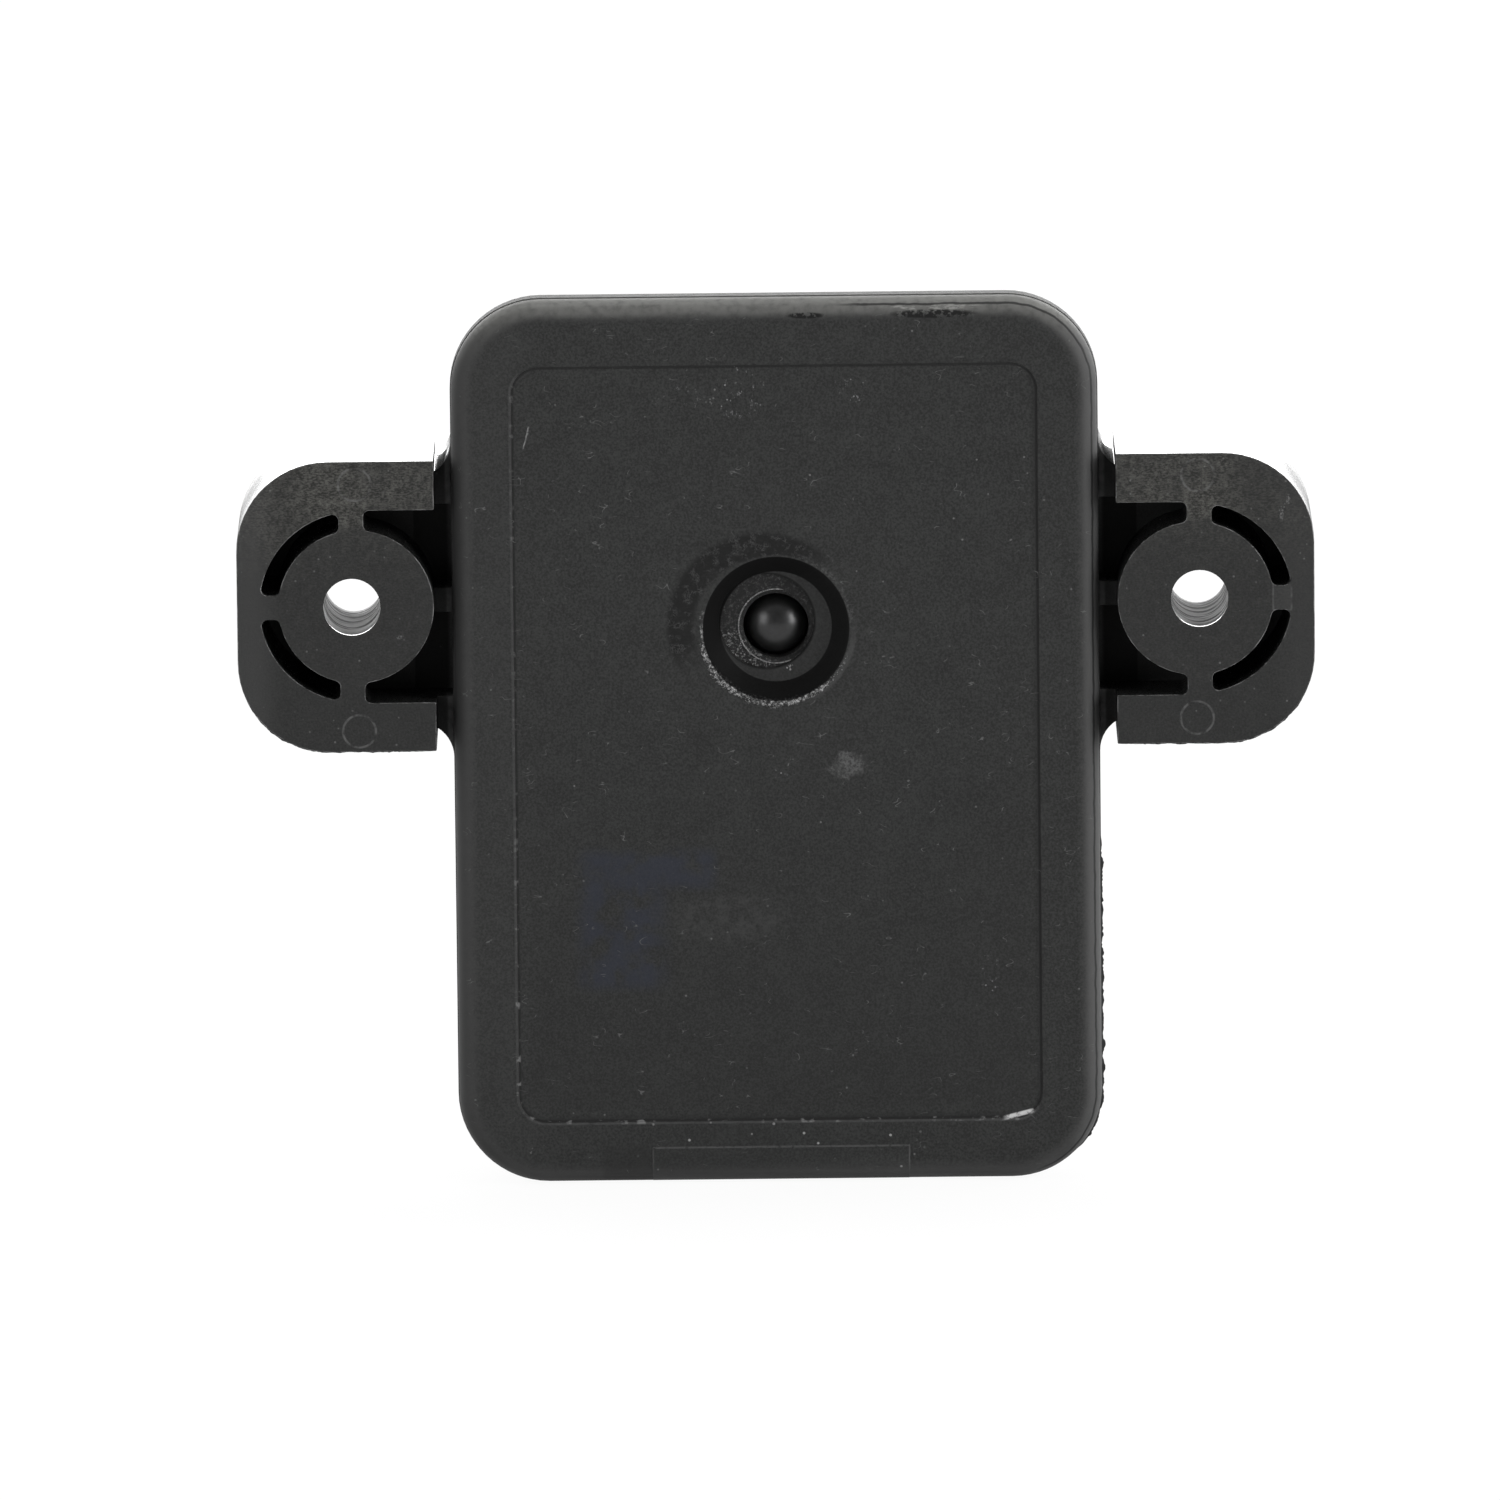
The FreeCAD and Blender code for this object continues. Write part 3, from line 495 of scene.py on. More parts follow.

# %% [markdown]
# ## The cover's finish
# The cover's face is the part one looks at: an even, fine mottle, a thin drawn line round the panel,
# chalky specks, a bluish smudge, and scuffs round the recess.
# Each mark is a mask at its own place in millimetres, and lightens or roughens the plastic a little. The rounded edge
# and the panel's step also carry painted highlights, and the recess's cone painted shade.

# %% Cover finish
lid, fine, _ = plastic("moulded_cover")
on_face = lid.fade(lid.y, 1.4, 0.9)
rim = lid.outline(0, flange_z, flange_half_x - cover_inset, flange_half_z - cover_inset, corner_r - cover_inset)
# The rounded edge is lightened in patches, partly rubbed wear and partly painted sheen; where it faces up it gets a
# stronger painted highlight.
rubbed_and_sheen = lid.fade(rim, -2.4, -1.0) * lid.patches(0.8, -0.2, 0.7, 4.0)
facing_up = lid.fade(lid.facing("Z"), 0.1, 0.95)
lid.paint(rubbed_and_sheen * 0.6, grey(0.036))
lid.paint(rubbed_and_sheen * facing_up, (0.20, 0.20, 0.19, 1))
# Painted light on the edge's outer band: lighter on the right and along the bottom, less on the left.
sides = lid.fade(rim, -1.7, -0.5)
lid.paint(sides * lid.fade(lid.x, 27, 30) * 0.7, grey(0.085))
lid.paint(sides * lid.fade(lid.z, -54, -57) * 0.7, grey(0.082))
lid.paint(sides * lid.fade(lid.x, -27, -30) * 0.5, grey(0.045))
seam_side = lid.fade(lid.x, 24, 27).at_least(lid.fade(lid.x, 5, 9) * lid.fade(lid.z, 25, 27))
wander = (lid.noise(1.5, 3.0) - 0.5) * 0.25
seam = lid.fade(abs(rim + 0.55 + wander), 0.14, 0.05) * seam_side
# Painted highlight along the top edge: a pale ragged line in place of a thin flash fin catching the top light, and a
# brighter streak above a dark fleck on the right.
flash_highlight = lid.fade(rim + wander, -0.5, -0.35) * lid.patches(0.5, 0.3, 0.6, 4.0) * lid.fade(lid.z, 25, 28)
lid.paint(flash_highlight * 0.4, (0.22, 0.22, 0.21, 1))
top_highlight_streak = lid.spot(15.5, 28.95, 5.5, 0.4) * lid.fade(lid.noise(0.5, 5.0, lid.stretched(0.3, 1, 1), 0.7), 0.44, 0.6)
lid.paint(top_highlight_streak * 0.7, (0.34, 0.34, 0.325, 1))
lid.paint(seam * 0.85, grey(0.003))
print("rubbed edge, dusty where it faces up, with a seam and flash")

# %% Lines of the panel and the patch
panel_z, panel_half_x, panel_half_z, panel_corner_r = -14.05, 25.6, 37.45, 2.7
panel_low = panel_z - panel_half_z
panel = lid.outline(0, panel_z, panel_half_x, panel_half_z, panel_corner_r)
line_noise = lid.noise(0.8, 3.0)
lid.paint(lid.fade(panel, -0.2, -2.0) * lid.fade(lid.z, 8, -42) * 0.2, grey(0.008))
lid.paint(lid.fade(panel, 0.2, 0.6) * lid.fade(lid.x, -22, -26) * on_face * 0.14, grey(0.034))
low = lid.fade(lid.z, panel_low + 1.5, panel_low + 0.3)
left = lid.fade(lid.x, 1.0 - panel_half_x, 0.2 - panel_half_x)
right = lid.fade(lid.x, panel_half_x - 1.5, panel_half_x - 0.5)
scribed = lid.fade(abs(panel + 0.12), 0.2, 0.06)
scarce = lid.fade(lid.z, -20.0, -45.0, 0.35, 1.0)
shadow = lid.fade(panel, -0.95, -0.1) * lid.fade(panel, 0.1, 0.0) * low.at_least(right)
# Painted highlight on the panel's step, along its bottom and left sides.
painted_step_highlight = lid.fade(abs(panel - 0.12), 0.2, 0.05) * low.at_least(left * 0.7) * lid.fade(line_noise, 0.1, 0.5)
chips = lid.fade(abs(panel), 0.3, 0.1) * lid.fade(line_noise, 0.56, 0.68) * low.at_least(left) * scarce
lid.paint(shadow * 0.45, grey(0.004))
lid.paint(scribed * 0.75, grey(0.004))
lid.paint(painted_step_highlight * 0.5 * on_face, grey(0.055))
lid.paint(chips * 0.8 * on_face, grey(0.14))
torn_x, torn_z = 23.3, panel_low + 0.375
torn_corner = lid.fade(abs(lid.z - torn_z - (lid.x - torn_x) * 0.25), 0.3, 0.12)
torn_corner = torn_corner * lid.fade(abs(lid.x - torn_x), 1.7, 0.9) * lid.patches(0.5, 0.34, 0.52, 4.0, 0.7)
lid.paint(torn_corner * 0.9, grey(0.50))
patch_z, patch_half_x, patch_half_z = -57.5, 12.55, 3.4
patch = lid.outline(0, patch_z, patch_half_x, patch_half_z, 0.1)
# Painted highlight along the patch's raised edge, fainter towards its bottom.
patch_edge_highlight = lid.fade(abs(patch), 0.13, 0.04) * lid.patches(0.5, 0.25, 0.5, 3.0) * on_face
patch_edge_highlight = patch_edge_highlight * lid.fade(lid.z, -57.2, -55.2, 0.15, 1.0)
lid.paint(patch_edge_highlight * 0.6, grey(0.080))
white_dots = lid.fade(lid.grains(1.6), 0.11, 0.05) * lid.fade(abs(lid.z + 54.0), 3.4, 1.5)
lid.paint(white_dots * lid.fade(abs(lid.x), 15, 11) * 0.85, grey(0.26))
beside_patch = lid.fade(abs(lid.x + 15.0), 2.9, 2.0) * lid.fade(lid.z, -53.5, -54.4) * lid.fade(patch, -0.1, 0.1)
lid.paint(beside_patch * 0.35, grey(0.007))
print("panel line at", panel_half_x, "by", panel_half_z)

# %% Marks on the face
speck_noise = lid.fade(lid.grains(0.45), 0.26, 0.1) * lid.patches(0.9, 0.52, 0.62, 3.0)
speck_noise = speck_noise.at_least(lid.fade(lid.noise(0.6, 6.0, lid.stretched(1, 1, 0.6), 0.8), 0.58, 0.66))
speck_places = lid.spot(-3.6, 20.6, 3.2, 3.0).at_least(lid.spot(-9.0, 20.0, 3.5, 1.8) * 0.35)
speck_places = speck_places.at_least(lid.spot(7.5, 20.9, 2.0, 1.6))
speck_places = speck_places.at_least(lid.spot(20.5, -36.9, 1.1, 2.8)).at_least(lid.spot(1.2, -16.5, 1.6, 1.2))
lid.paint(speck_noise * speck_places * 0.85, (0.19, 0.19, 0.195, 1))
spread = lid.reach(7.1, -16.2, 1.9, 1.5) + (lid.noise(1.1, 4.0, roughness=0.65) - 0.5) * 2.2
residue = lid.fade(spread, 1.1, 0.5) * lid.patches(0.3, 0.34, 0.62, 5.0, 0.75)
lid.paint(residue * 0.6, (0.10, 0.10, 0.10, 1))
smudge_x, smudge_z = -10.2, -31.4
smudge = lid.fade(abs(lid.x - smudge_x) - 9.3, 1.0, -1.5) * lid.fade(abs(lid.z - smudge_z) - 6.8, 0.8, -1.0)
corner = lid.fade(lid.x, -10.0, -13.0).at_least(lid.fade(lid.z, -29.0, -27.5) * lid.fade(lid.x, -5.5, -7.0))
smudge = smudge * corner * lid.patches(2.2, 0.3, 0.6, 4.0)
lid.paint(smudge * 0.6, (0.014, 0.017, 0.029, 1))
hairs = abs(lid.noise(0.9, 1.0, lid.stretched(0.5, 1, 1)) - 0.5)
hairs = lid.fade(hairs, 0.012, 0.004) * lid.patches(1.4, 0.62, 0.68) * on_face
lid.paint(hairs * 0.6, grey(0.10))
smear = lid.spot(smudge_x + 5.4, smudge_z, 7.2, 2.8) * lid.patches(0.9, 0.36, 0.7, 5.0, 0.7)
lid.paint(smear * 0.36, grey(0.042))
scratch_x, scratch_z = -24.15, 16.45
along = lid.z - scratch_z
scratch = lid.fade(abs(lid.x - scratch_x - along * 0.24 + (lid.noise(0.5) - 0.5) * 0.3), 0.12, 0.04)
scratch = scratch * lid.fade(abs(along), 1.2, 0.9) * lid.fade(lid.noise(0.3, 3.0), 0.3, 0.5, 0.3, 1.0)
lid.paint(scratch * 0.75, grey(0.15))
flecks = lid.spot(3.2, 28.2, 2.2, 0.35).at_least(lid.spot(15.6, 28.25, 5.0, 0.5))
flecks = flecks * lid.patches(0.6, 0.42, 0.5, 4.0, 0.7)
lid.paint(flecks * 0.95, grey(0.001))
print("face marks at their places")

# %% [markdown]
# ## The recess
# The recess was turned after moulding: a smooth cone in painted shade, a flat floor, and an off-centre patch
# where a rougher tool bit round the ball. Its lower lip is chipped and pale, and the face beside it is scuffed.
# Colour and relief show most of it. The lip round the ball and the loose chips stand up, so they follow as shapes.

# %% Recess finish
from_recess = lid.reach(recess_x, recess_z)
lip_noise = lid.noise(0.3, 4.0, roughness=0.75)
below = lid.fade(lid.z + lid.x * 0.35, recess_z + 1.0, recess_z - 5.0)
low_left = lid.fade(lid.z + lid.x * 0.25, recess_z - 2.5, recess_z - 6.5)
ragged = (lid.noise(1.6, 3.0) - 0.5) * 0.9 + (lip_noise - 0.5) * 0.8 - low_left * 0.3
lip = lid.fade(abs(from_recess - (mouth_r + 0.1)) + ragged, 0.2, 0.0) * below * lid.fade(lid.y, 1.0, 0.75)
soft_lip = lid.fade(abs(from_recess - (mouth_r + 0.4)), 0.4, 0.1) * lid.fade(lid.z, -1.5, -5.0)
soft_lip = soft_lip * lid.fade(lid.x, 2.0, 5.0)
cone = lid.fade(from_recess, floor_r - 0.1, floor_r + 0.05) * lid.fade(from_recess, mouth_r, mouth_r - 0.1)
from_spot = lid.reach(spot_x, spot_z)
bitten = lid.fade(from_spot, spot_r + 0.06, spot_r) * lid.fade(lid.y, floor_y + 0.02, floor_y + 0.14)
crumbs = lid.noise(0.27, 5.0, roughness=0.85)
towards_low_left = lid.fade(lid.reach(-3.4, -5.9), 3.8, 1.4)
crumb_light = lid.fade(crumbs - towards_low_left * 0.02, 0.50, 0.66)
crumb_tone = lid.blend(towards_low_left, grey(0.056), grey(0.27))
# Painted shade round the floor's edge, at the foot of the cone.
floor_ring = lid.fade(from_recess, floor_r - 0.05, floor_r - 0.15) * (1 - bitten)
lid.paint(floor_ring * 0.35, grey(0.008))
lid.paint(bitten, lid.blend(crumb_light, grey(0.008), crumb_tone))
# Painted shade: a dark line on the recess floor round the foot of the spot-face's step.
spot_edge = lid.fade(abs(from_spot - (spot_r + 0.02)), 0.16, 0.05) * lid.fade(lid.y, floor_y - 0.1, floor_y - 0.02)
lid.paint(spot_edge * 0.9, grey(0.002))
bright_lip = lid.patches(0.24, 0.48, 0.62, 4.0, 0.8)
lid.paint(soft_lip * 0.35, grey(0.06))
lid.paint(lip * 0.9, lid.blend(bright_lip, grey(0.012), grey(0.40)))
scuff_arc = lid.fade(abs(lid.reach(-1.4, -2.4) - 7.9), 1.7, 0.9)
scuff_arc = scuff_arc * lid.fade(lid.z - lid.x * 0.75, -1.5, 3.5) * lid.fade(from_recess, mouth_r, mouth_r + 0.2)
scuff_arc = scuff_arc * lid.patches(1.6, 0.2, 0.42, 3.0)
worms = abs(lid.noise(0.42, 5.0, roughness=0.8) - 0.5)
scuff = scuff_arc * lid.fade(worms, 0.04, 0.01) * lid.patches(0.8, 0.46, 0.62, 3.0)
lid.paint(scuff_arc * 0.7, grey(0.004))
lid.paint(scuff * 0.5, grey(0.10))
mouth_specks = lid.fade(abs(from_recess - (mouth_r + 0.25)), 0.4, 0.1) * lid.patches(0.35, 0.5, 0.6, 4.0, 0.75)
mouth_specks = mouth_specks * lid.fade(lid.x, 0, 3) * lid.fade(lid.z, -4, -1)
lid.paint(mouth_specks * 0.5, grey(0.07))
lid.set("Roughness", (0.55 + fine * 0.12 - cone * 0.1 + scuff * 0.2).at_most(0.9))
relief = fine * 0.007 + bitten * crumbs * 0.25 + scuff * 0.03 + lip * lip_noise * 0.25 - scribed * 0.03
lid.bump(relief - scratch * 0.03)
# Painted shade: the cone is mixed almost wholly into the near-black shader, a little more on its upper left.
upper_left = lid.fade(lid.z - recess_z - lid.x, 0, 5)
# The edge's outer band is mixed partly into the near-black shader as painted shade, together with the dark scuff arc.
scuff_and_side_shade = (scuff_arc * (1 - scuff) * 0.3).at_least(sides * 0.45)
lid.shade((cone * (0.91 + upper_left * 0.06)).at_least(scuff_and_side_shade))
print("recess at", (recess_x, recess_z))


# %% [markdown]
# ## Eased edges
# A moulded edge is never razor sharp: a rounding of a tenth of a millimetre or two catches a thin line of light,
# and those lines draw the boss, the slots and the arms in the photograph.
# The CAD solids leave such roundings out to save faces. Here the node's mesh is copied, its loose triangles
# are joined into flat faces, and a Bevel modifier rounds its sharp edges.
# Large flat faces end in sharp shading edges, or their light would bend towards the rounded faces beside them.
# One width for all edges would fold the cover's steps of a tenth of a millimetre and widen the drilled holes.
# So each edge gets a weight, worked out from where it lies, and the modifier takes its width from that.

# %% Eased copies
def joined(name):
    """A CAD node's mesh with its loose triangles merged into larger flat faces."""
    shape = bmesh.new()
    shape.from_mesh(nodes[name].data)
    bmesh.ops.remove_doubles(shape, verts=shape.verts, dist=1e-6)
    bmesh.ops.dissolve_limit(shape, angle_limit=math.radians(0.5), verts=shape.verts, edges=shape.edges)
    for face in shape.faces:
        face.smooth = True
    for face in shape.faces:
        if face.calc_area() > 100 * mm ** 2:
            for edge in face.edges:
                edge.smooth = edge.calc_face_angle(0.0) < math.radians(1)
    return shape


def weigh_edges(shape, weight_at, angle=25):
    """Write a bevel weight on every sharp edge, from a function of the edge's middle in millimetres."""
    weights = shape.edges.layers.float.new("bevel_weight_edge")
    for edge in shape.edges:
        if edge.calc_face_angle(0.0) > math.radians(angle):
            edge[weights] = weight_at((edge.verts[0].co + edge.verts[1].co) / 2 / mm)
            edge.smooth = edge.smooth and edge[weights] > 0
    return sum(edge[weights] > 0 for edge in shape.edges)


def piece_from(shape, name, finish):
    """A finished mesh as an object at the origin."""
    mesh = bpy.data.meshes.new(name)
    shape.to_mesh(mesh)
    shape.free()
    mesh.materials.append(finish.material)
    piece = bpy.data.objects.new(name, mesh)
    scene.collection.objects.link(piece)
    return piece


def ease(piece, width):
    """Round every weighted edge, and keep the flat faces flat in shading."""
    rounding = piece.modifiers.new("eased", "BEVEL")
    rounding.width = width
    rounding.segments = 2
    rounding.limit_method = "WEIGHT"
    rounding.use_clamp_overlap = False
    rounding.harden_normals = True
    return piece


print("easing helpers ready")


# %% Housing and cover
def housing_weight(place):
    from_hole = math.hypot(abs(place.x) - bolt_x, place.z)
    return 0.0 if from_hole < hole_r + 0.5 else 1.0


def cover_weight(place):
    if place.y > seat_y + 0.05:
        return 0.0
    from_axis = math.hypot(place.x - recess_x, place.z - recess_z)
    at_mouth = mouth_r - 0.25 < from_axis < mouth_r + 0.15
    return 1.0 if at_mouth and place.y < 0.8 else 0.2


for name, weight_at, width, finish, slot in [
        ("housing", housing_weight, 0.13, shell, "housing_plastic"),
        ("back_cover", cover_weight, 0.2, lid, "cover_plastic")]:
    shape = joined(name)
    print(name, "has", weigh_edges(shape, weight_at), "edges to ease")
    piece = ease(piece_from(shape, name + "_eased", finish), width * mm)
    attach(piece, "root")
    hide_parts(name)

# %% [markdown]
# ## The turned lip and the chips
# The tool that seated the ball raised a thin lip of plastic round it, and left chips on the recess floor
# and along the torn lower edge of the mouth.
# Paint alone stays flat there, and these bits catch the light, so they are small real shapes:
# the lip is a tiny section spun round the recess's axis, and each chip is a squashed icosphere.
# A seeded random generator puts them in the same places on every run.

# %% Turned lip
lip_radius = 3.66
lip_shape = bmesh.new()
lip_start, lip_sweep = 78, 215
start_angle = math.radians(lip_start)
section = [(-0.07, 0.0), (-0.04, 0.1), (0.02, 0.12), (0.07, 0.0)]
corners = []
for across, height in section:
    radius = lip_radius + across
    place = Vector((radius * math.cos(start_angle), seat_y + 0.01 - height, radius * math.sin(start_angle)))
    corners.append(lip_shape.verts.new((place + Vector((recess_x, 0, recess_z))) * mm))
face = lip_shape.faces.new(corners)
bmesh.ops.spin(lip_shape, geom=[face] + list(face.edges) + corners, cent=Vector((recess_x, 0, recess_z)) * mm,
               axis=(0, -1, 0), angle=math.radians(lip_sweep), steps=110, use_merge=False, use_duplicate=False)
bmesh.ops.remove_doubles(lip_shape, verts=lip_shape.verts, dist=1e-8)
for vert in lip_shape.verts:
    place = vert.co / mm
    angle = math.degrees(math.atan2(place.z - recess_z, place.x - recess_x)) % 360
    ends = max(0.0, min(1.0, (angle - lip_start) / 25, (lip_start + lip_sweep - angle) / 12))
    rough = 0.75 + 0.9 * noise.noise(place * 2.6)
    vert.co.y = (seat_y + 0.01 - (seat_y + 0.01 - place.y) * max(0.1, rough * ends)) * mm
bmesh.ops.recalc_face_normals(lip_shape, faces=lip_shape.faces)
chip_finish = Finish("torn_plastic", grey(0.03), 0.5)
torn = chip_finish.noise(0.15, 3.0)
chip_finish.paint(chip_finish.fade(torn, 0.35, 0.65), grey(0.22))
chip_finish.set("Roughness", 0.35 + torn * 0.3)
lip_piece = piece_from(lip_shape, "turned_lip", chip_finish)
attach(lip_piece, "root")
print("turned lip with", len(lip_piece.data.polygons), "faces")

# %% Chips
dice = random.Random(7)
chip_shape = bmesh.new()


def drop_chip(x, depth, z, size):
    """One torn chip: an icosphere squashed, turned and resting on a surface at this depth."""
    squash = Matrix.Diagonal((dice.uniform(0.6, 1.4), dice.uniform(0.35, 0.7), dice.uniform(0.4, 1.2), 1))
    turn = Matrix.Rotation(dice.uniform(0, math.tau), 4, "Y") @ Matrix.Rotation(dice.uniform(-0.5, 0.5), 4, "X")
    place = Matrix.Translation(Vector((x, depth - size * 0.3, z)) * mm)
    made = bmesh.ops.create_icosphere(chip_shape, subdivisions=1, radius=size * mm, matrix=place @ turn @ squash)
    for vert in made["verts"]:
        vert.co += Vector((dice.uniform(-1, 1), 0, dice.uniform(-1, 1))) * size * 0.25 * mm


for count, centre, low, high, near, far, depth, small, large in [
        (34, (spot_x, spot_z), 195, 285, 3.9, 4.6, seat_y, 0.04, 0.11),
        (9, (1.3, -6.75), 0, 360, 0.0, 0.35, floor_y, 0.06, 0.13),
        (90, (recess_x, recess_z), 190, 345, 7.3, 7.62, 0.6, 0.03, 0.1)]:
    for _ in range(count):
        angle = math.radians(dice.uniform(low, high))
        radius = dice.uniform(near, far)
        drop_chip(centre[0] + radius * math.cos(angle), depth, centre[1] + radius * math.sin(angle),
                  dice.uniform(small, large))
chip_piece = piece_from(chip_shape, "chips", chip_finish)
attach(chip_piece, "root")
print("chips:", len(chip_piece.data.polygons) // 20)

# %% [markdown]
# ## Flash at the mould's parting lines
# Where the two halves of the mould met, the housing has a ragged fin along the lower right edge of its flange,
# and finer ones along the lower edges of the ears. They break the straight outlines against the white.
# A noise in the shader can't change an outline, so each fin is a thin strip that follows the edge.
# Its root lies just inside the plastic, and its outer side is pushed out by noise.

# %% Flash
def arc_path(x, z, radius, first, last, steps):
    """Places and outward directions along an arc in the plane of the cover, angles in degrees."""
    turns = [math.radians(first + (last - first) * step / steps) for step in range(steps + 1)]
    return [(Vector((x + radius * math.cos(turn), 0, z + radius * math.sin(turn))),
             Vector((math.cos(turn), 0, math.sin(turn)))) for turn in turns]


def line_path(first, last, outward, steps):
    return [(Vector(first).lerp(Vector(last), step / steps), Vector(outward)) for step in range(steps + 1)]


def add_fin(shape, path, depth, thick, reach, seed):
    """A strip with four corners per place, whose outer side is ragged and dies out at both ends."""
    rings = []
    for index, (place, outward) in enumerate(path):
        ending = min(1.0, index / 12, (len(path) - 1 - index) / 12)
        ragged = 0.45 + noise.noise((index * 0.17, seed, 0)) + 0.5 * noise.noise((index * 0.61, 0, seed))
        outer = reach * ending * max(0.0, ragged)
        rings.append([shape.verts.new((place + outward * out + Vector((0, y, 0))) * mm)
                      for out, y in [(-0.1, depth), (outer, depth + thick * 0.3),
                                     (outer, depth + thick * 0.7), (-0.1, depth + thick)]])
    for near, far in zip(rings, rings[1:]):
        for side in range(4):
            after = (side + 1) % 4
            shape.faces.new([near[side], near[after], far[after], far[side]])


fin_shape = bmesh.new()
arc_x, arc_z = flange_half_x - corner_r, flange_z - flange_half_z + corner_r
add_fin(fin_shape, line_path((flange_half_x, 0, -24), (flange_half_x, 0, arc_z + 0.1), (1, 0, 0), 130)
        + arc_path(arc_x, arc_z, corner_r, 0, -48, 38), joint_y + 0.05, 0.15, 0.3, 1)
for side, first, last, seed in [(1, -25, -90, 2), (-1, 205, 270, 3)]:
    outer, inner = side * (ear_corner_x - 0.2), side * (flange_half_x + 1.95)
    add_fin(fin_shape, arc_path(side * ear_corner_x, ear_corner_z, corner_r, first, last, 52)
            + line_path((outer, 0, ear_low), (inner, 0, ear_low), (0, 0, -1), 50), 0.05, 0.2, 0.12, seed)
bmesh.ops.recalc_face_normals(fin_shape, faces=fin_shape.faces)
fin_piece = piece_from(fin_shape, "parting_flash", shell)
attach(fin_piece, "root")
print("fins with", len(fin_piece.data.polygons), "faces")

# %% [markdown]
# ## The other pieces
# The ball and everything inside keep their CAD shape, so a finish goes straight onto each node.
# Most of these finishes start from one recipe, in which a single noise moves colour, gloss and relief.

# %% Giving nodes their finish
def wear(finish, *names):
    """Put one finish on CAD nodes."""
    for name in names:
        nodes[name].data.materials.clear()
        nodes[name].data.materials.append(finish.material)


def cloudy(name, dark, light, size, roughness, metallic=0.0, relief=0.004):
    """A finish whose colour, gloss and relief move together with one noise."""
    made = Finish(name, dark, roughness, metallic)
    cloud = made.noise(size, 4.0, roughness=0.6)
    made.paint(made.fade(cloud, 0.3, 0.7), (*light, 1))
    made.set("Roughness", roughness - 0.06 + cloud * 0.12)
    made.bump(cloud * relief)
    return made


print("two helpers for the small parts")

# %% [markdown]
# ## The ball
# The sealing ball is a blackened steel ball: a dark mirror that shows the two soft boxes as soft spots.
# Its black oxide isn't a pure metal surface, so a little of it stays matt, which lifts the rim off pure black.

# %% Ball
ball_finish = Finish("blackened_steel", grey(0.031), 0.33, metallic=0.8)
oxide = ball_finish.noise(0.5, 3.0)
ball_finish.paint(oxide, (0.045, 0.045, 0.046, 1))
ball_finish.set("Roughness", 0.28 + oxide * 0.1)
wear(ball_finish, "sealing_ball")
print("ball finish")

# %% [markdown]
# ## The circuit board
# The board is laminate under green solder mask. Copper tracks show through as slightly raised, lighter lines.
# The tracks are thin bands along Z or X, on the pitch of the chip's leads. Each lane has a number, and a noise
# read at that number switches the band on and off along its length.
# Round the blades' holes the mask ends and tinned pads show, and the sawn edge shows the laminate.

# %% Board finish
board = Finish("solder_mask", (0.012, 0.075, 0.032), 0.4)
pitch = 1.27


def tracks(across, along):
    """Thin bands on the pitch, each switched on and off along its length by its own noise."""
    lane = (across / pitch).whole()
    lane_place = board.node("ShaderNodeCombineXYZ", None, {0: lane * 3.7, 1: along * 0.09, 2: 1.5})
    lane_noise = board.node("ShaderNodeTexNoise", None, {"Vector": lane_place, "Scale": 1.0, "Detail": 0.0})
    from_middle = abs(across / pitch - lane - 0.5)
    return board.fade(from_middle, 0.17, 0.13) * board.fade(lane_noise, 0.52, 0.53)


track = tracks(board.x, board.z).at_least(tracks(board.z, board.x) * board.patches(7.0, 0.5, 0.52))
weave = board.noise(0.35, 3.0)
board_low, board_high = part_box("terminal_solder")
tail_z = (board_low.z + board_high.z) / 2 / mm
pads = board.reach(-5.6, tail_z).at_most(board.reach(0, tail_z)).at_most(board.reach(5.6, tail_z))
pads = board.fade(pads, 1.75, 1.65)
sawn = board.fade(abs(board.facing("Y")), 0.6, 0.4)
board.paint(track, (0.025, 0.16, 0.07, 1))
board.paint(pads, (0.62, 0.62, 0.6, 1))
board.paint(sawn, board.blend(weave, (0.16, 0.13, 0.05, 1), (0.30, 0.26, 0.12, 1)))
board.set("Metallic", pads * (1 - sawn))
board.set("Roughness", 0.34 + weave * 0.1 + sawn * 0.35)
board.bump(track * 0.035 + weave * 0.006)
wear(board, "circuit_board")
print("board pads at z =", round(tail_z, 1))

# %% [markdown]
# ## Parts on the board
# The amplifier and the diode are black moulded epoxy, with a fine sparkle of its silica filler.
# The resistors are white ceramic with a black film and tinned ends, with a laser's trimming cut in the film.
# The capacitors are fired brown ceramic with tinned ends, and the reservoir is yellow resin with a dark end stripe.
# Ends and stripes are found from each node's own box, so they stay right if the CAD sizes change.

# %% Board parts
def box_span(name):
    """A node's middle and half size in millimetres."""
    low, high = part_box(name)
    return (low + high) / 2 / mm, (high - low) / 2 / mm


epoxy = cloudy("moulded_epoxy", (0.010, 0.010, 0.011), (0.028, 0.028, 0.030), 0.12, 0.55)
sparkle = epoxy.fade(epoxy.grains(0.35), 0.14, 0.05)
epoxy.set("Base Color", epoxy.blend(sparkle * 0.5, epoxy.blend(epoxy.noise(0.12), grey(0.010), grey(0.026)),
                                    grey(0.12)))
chip_mid, chip_half = box_span("amplifier_chip")
dot = epoxy.fade(epoxy.reach(chip_mid.x - 1.2, chip_mid.z + chip_half.z - 0.9), 0.32, 0.28)
epoxy.bump(epoxy.noise(0.12) * 0.012 - dot * 0.08)
wear(epoxy, "amplifier_chip")

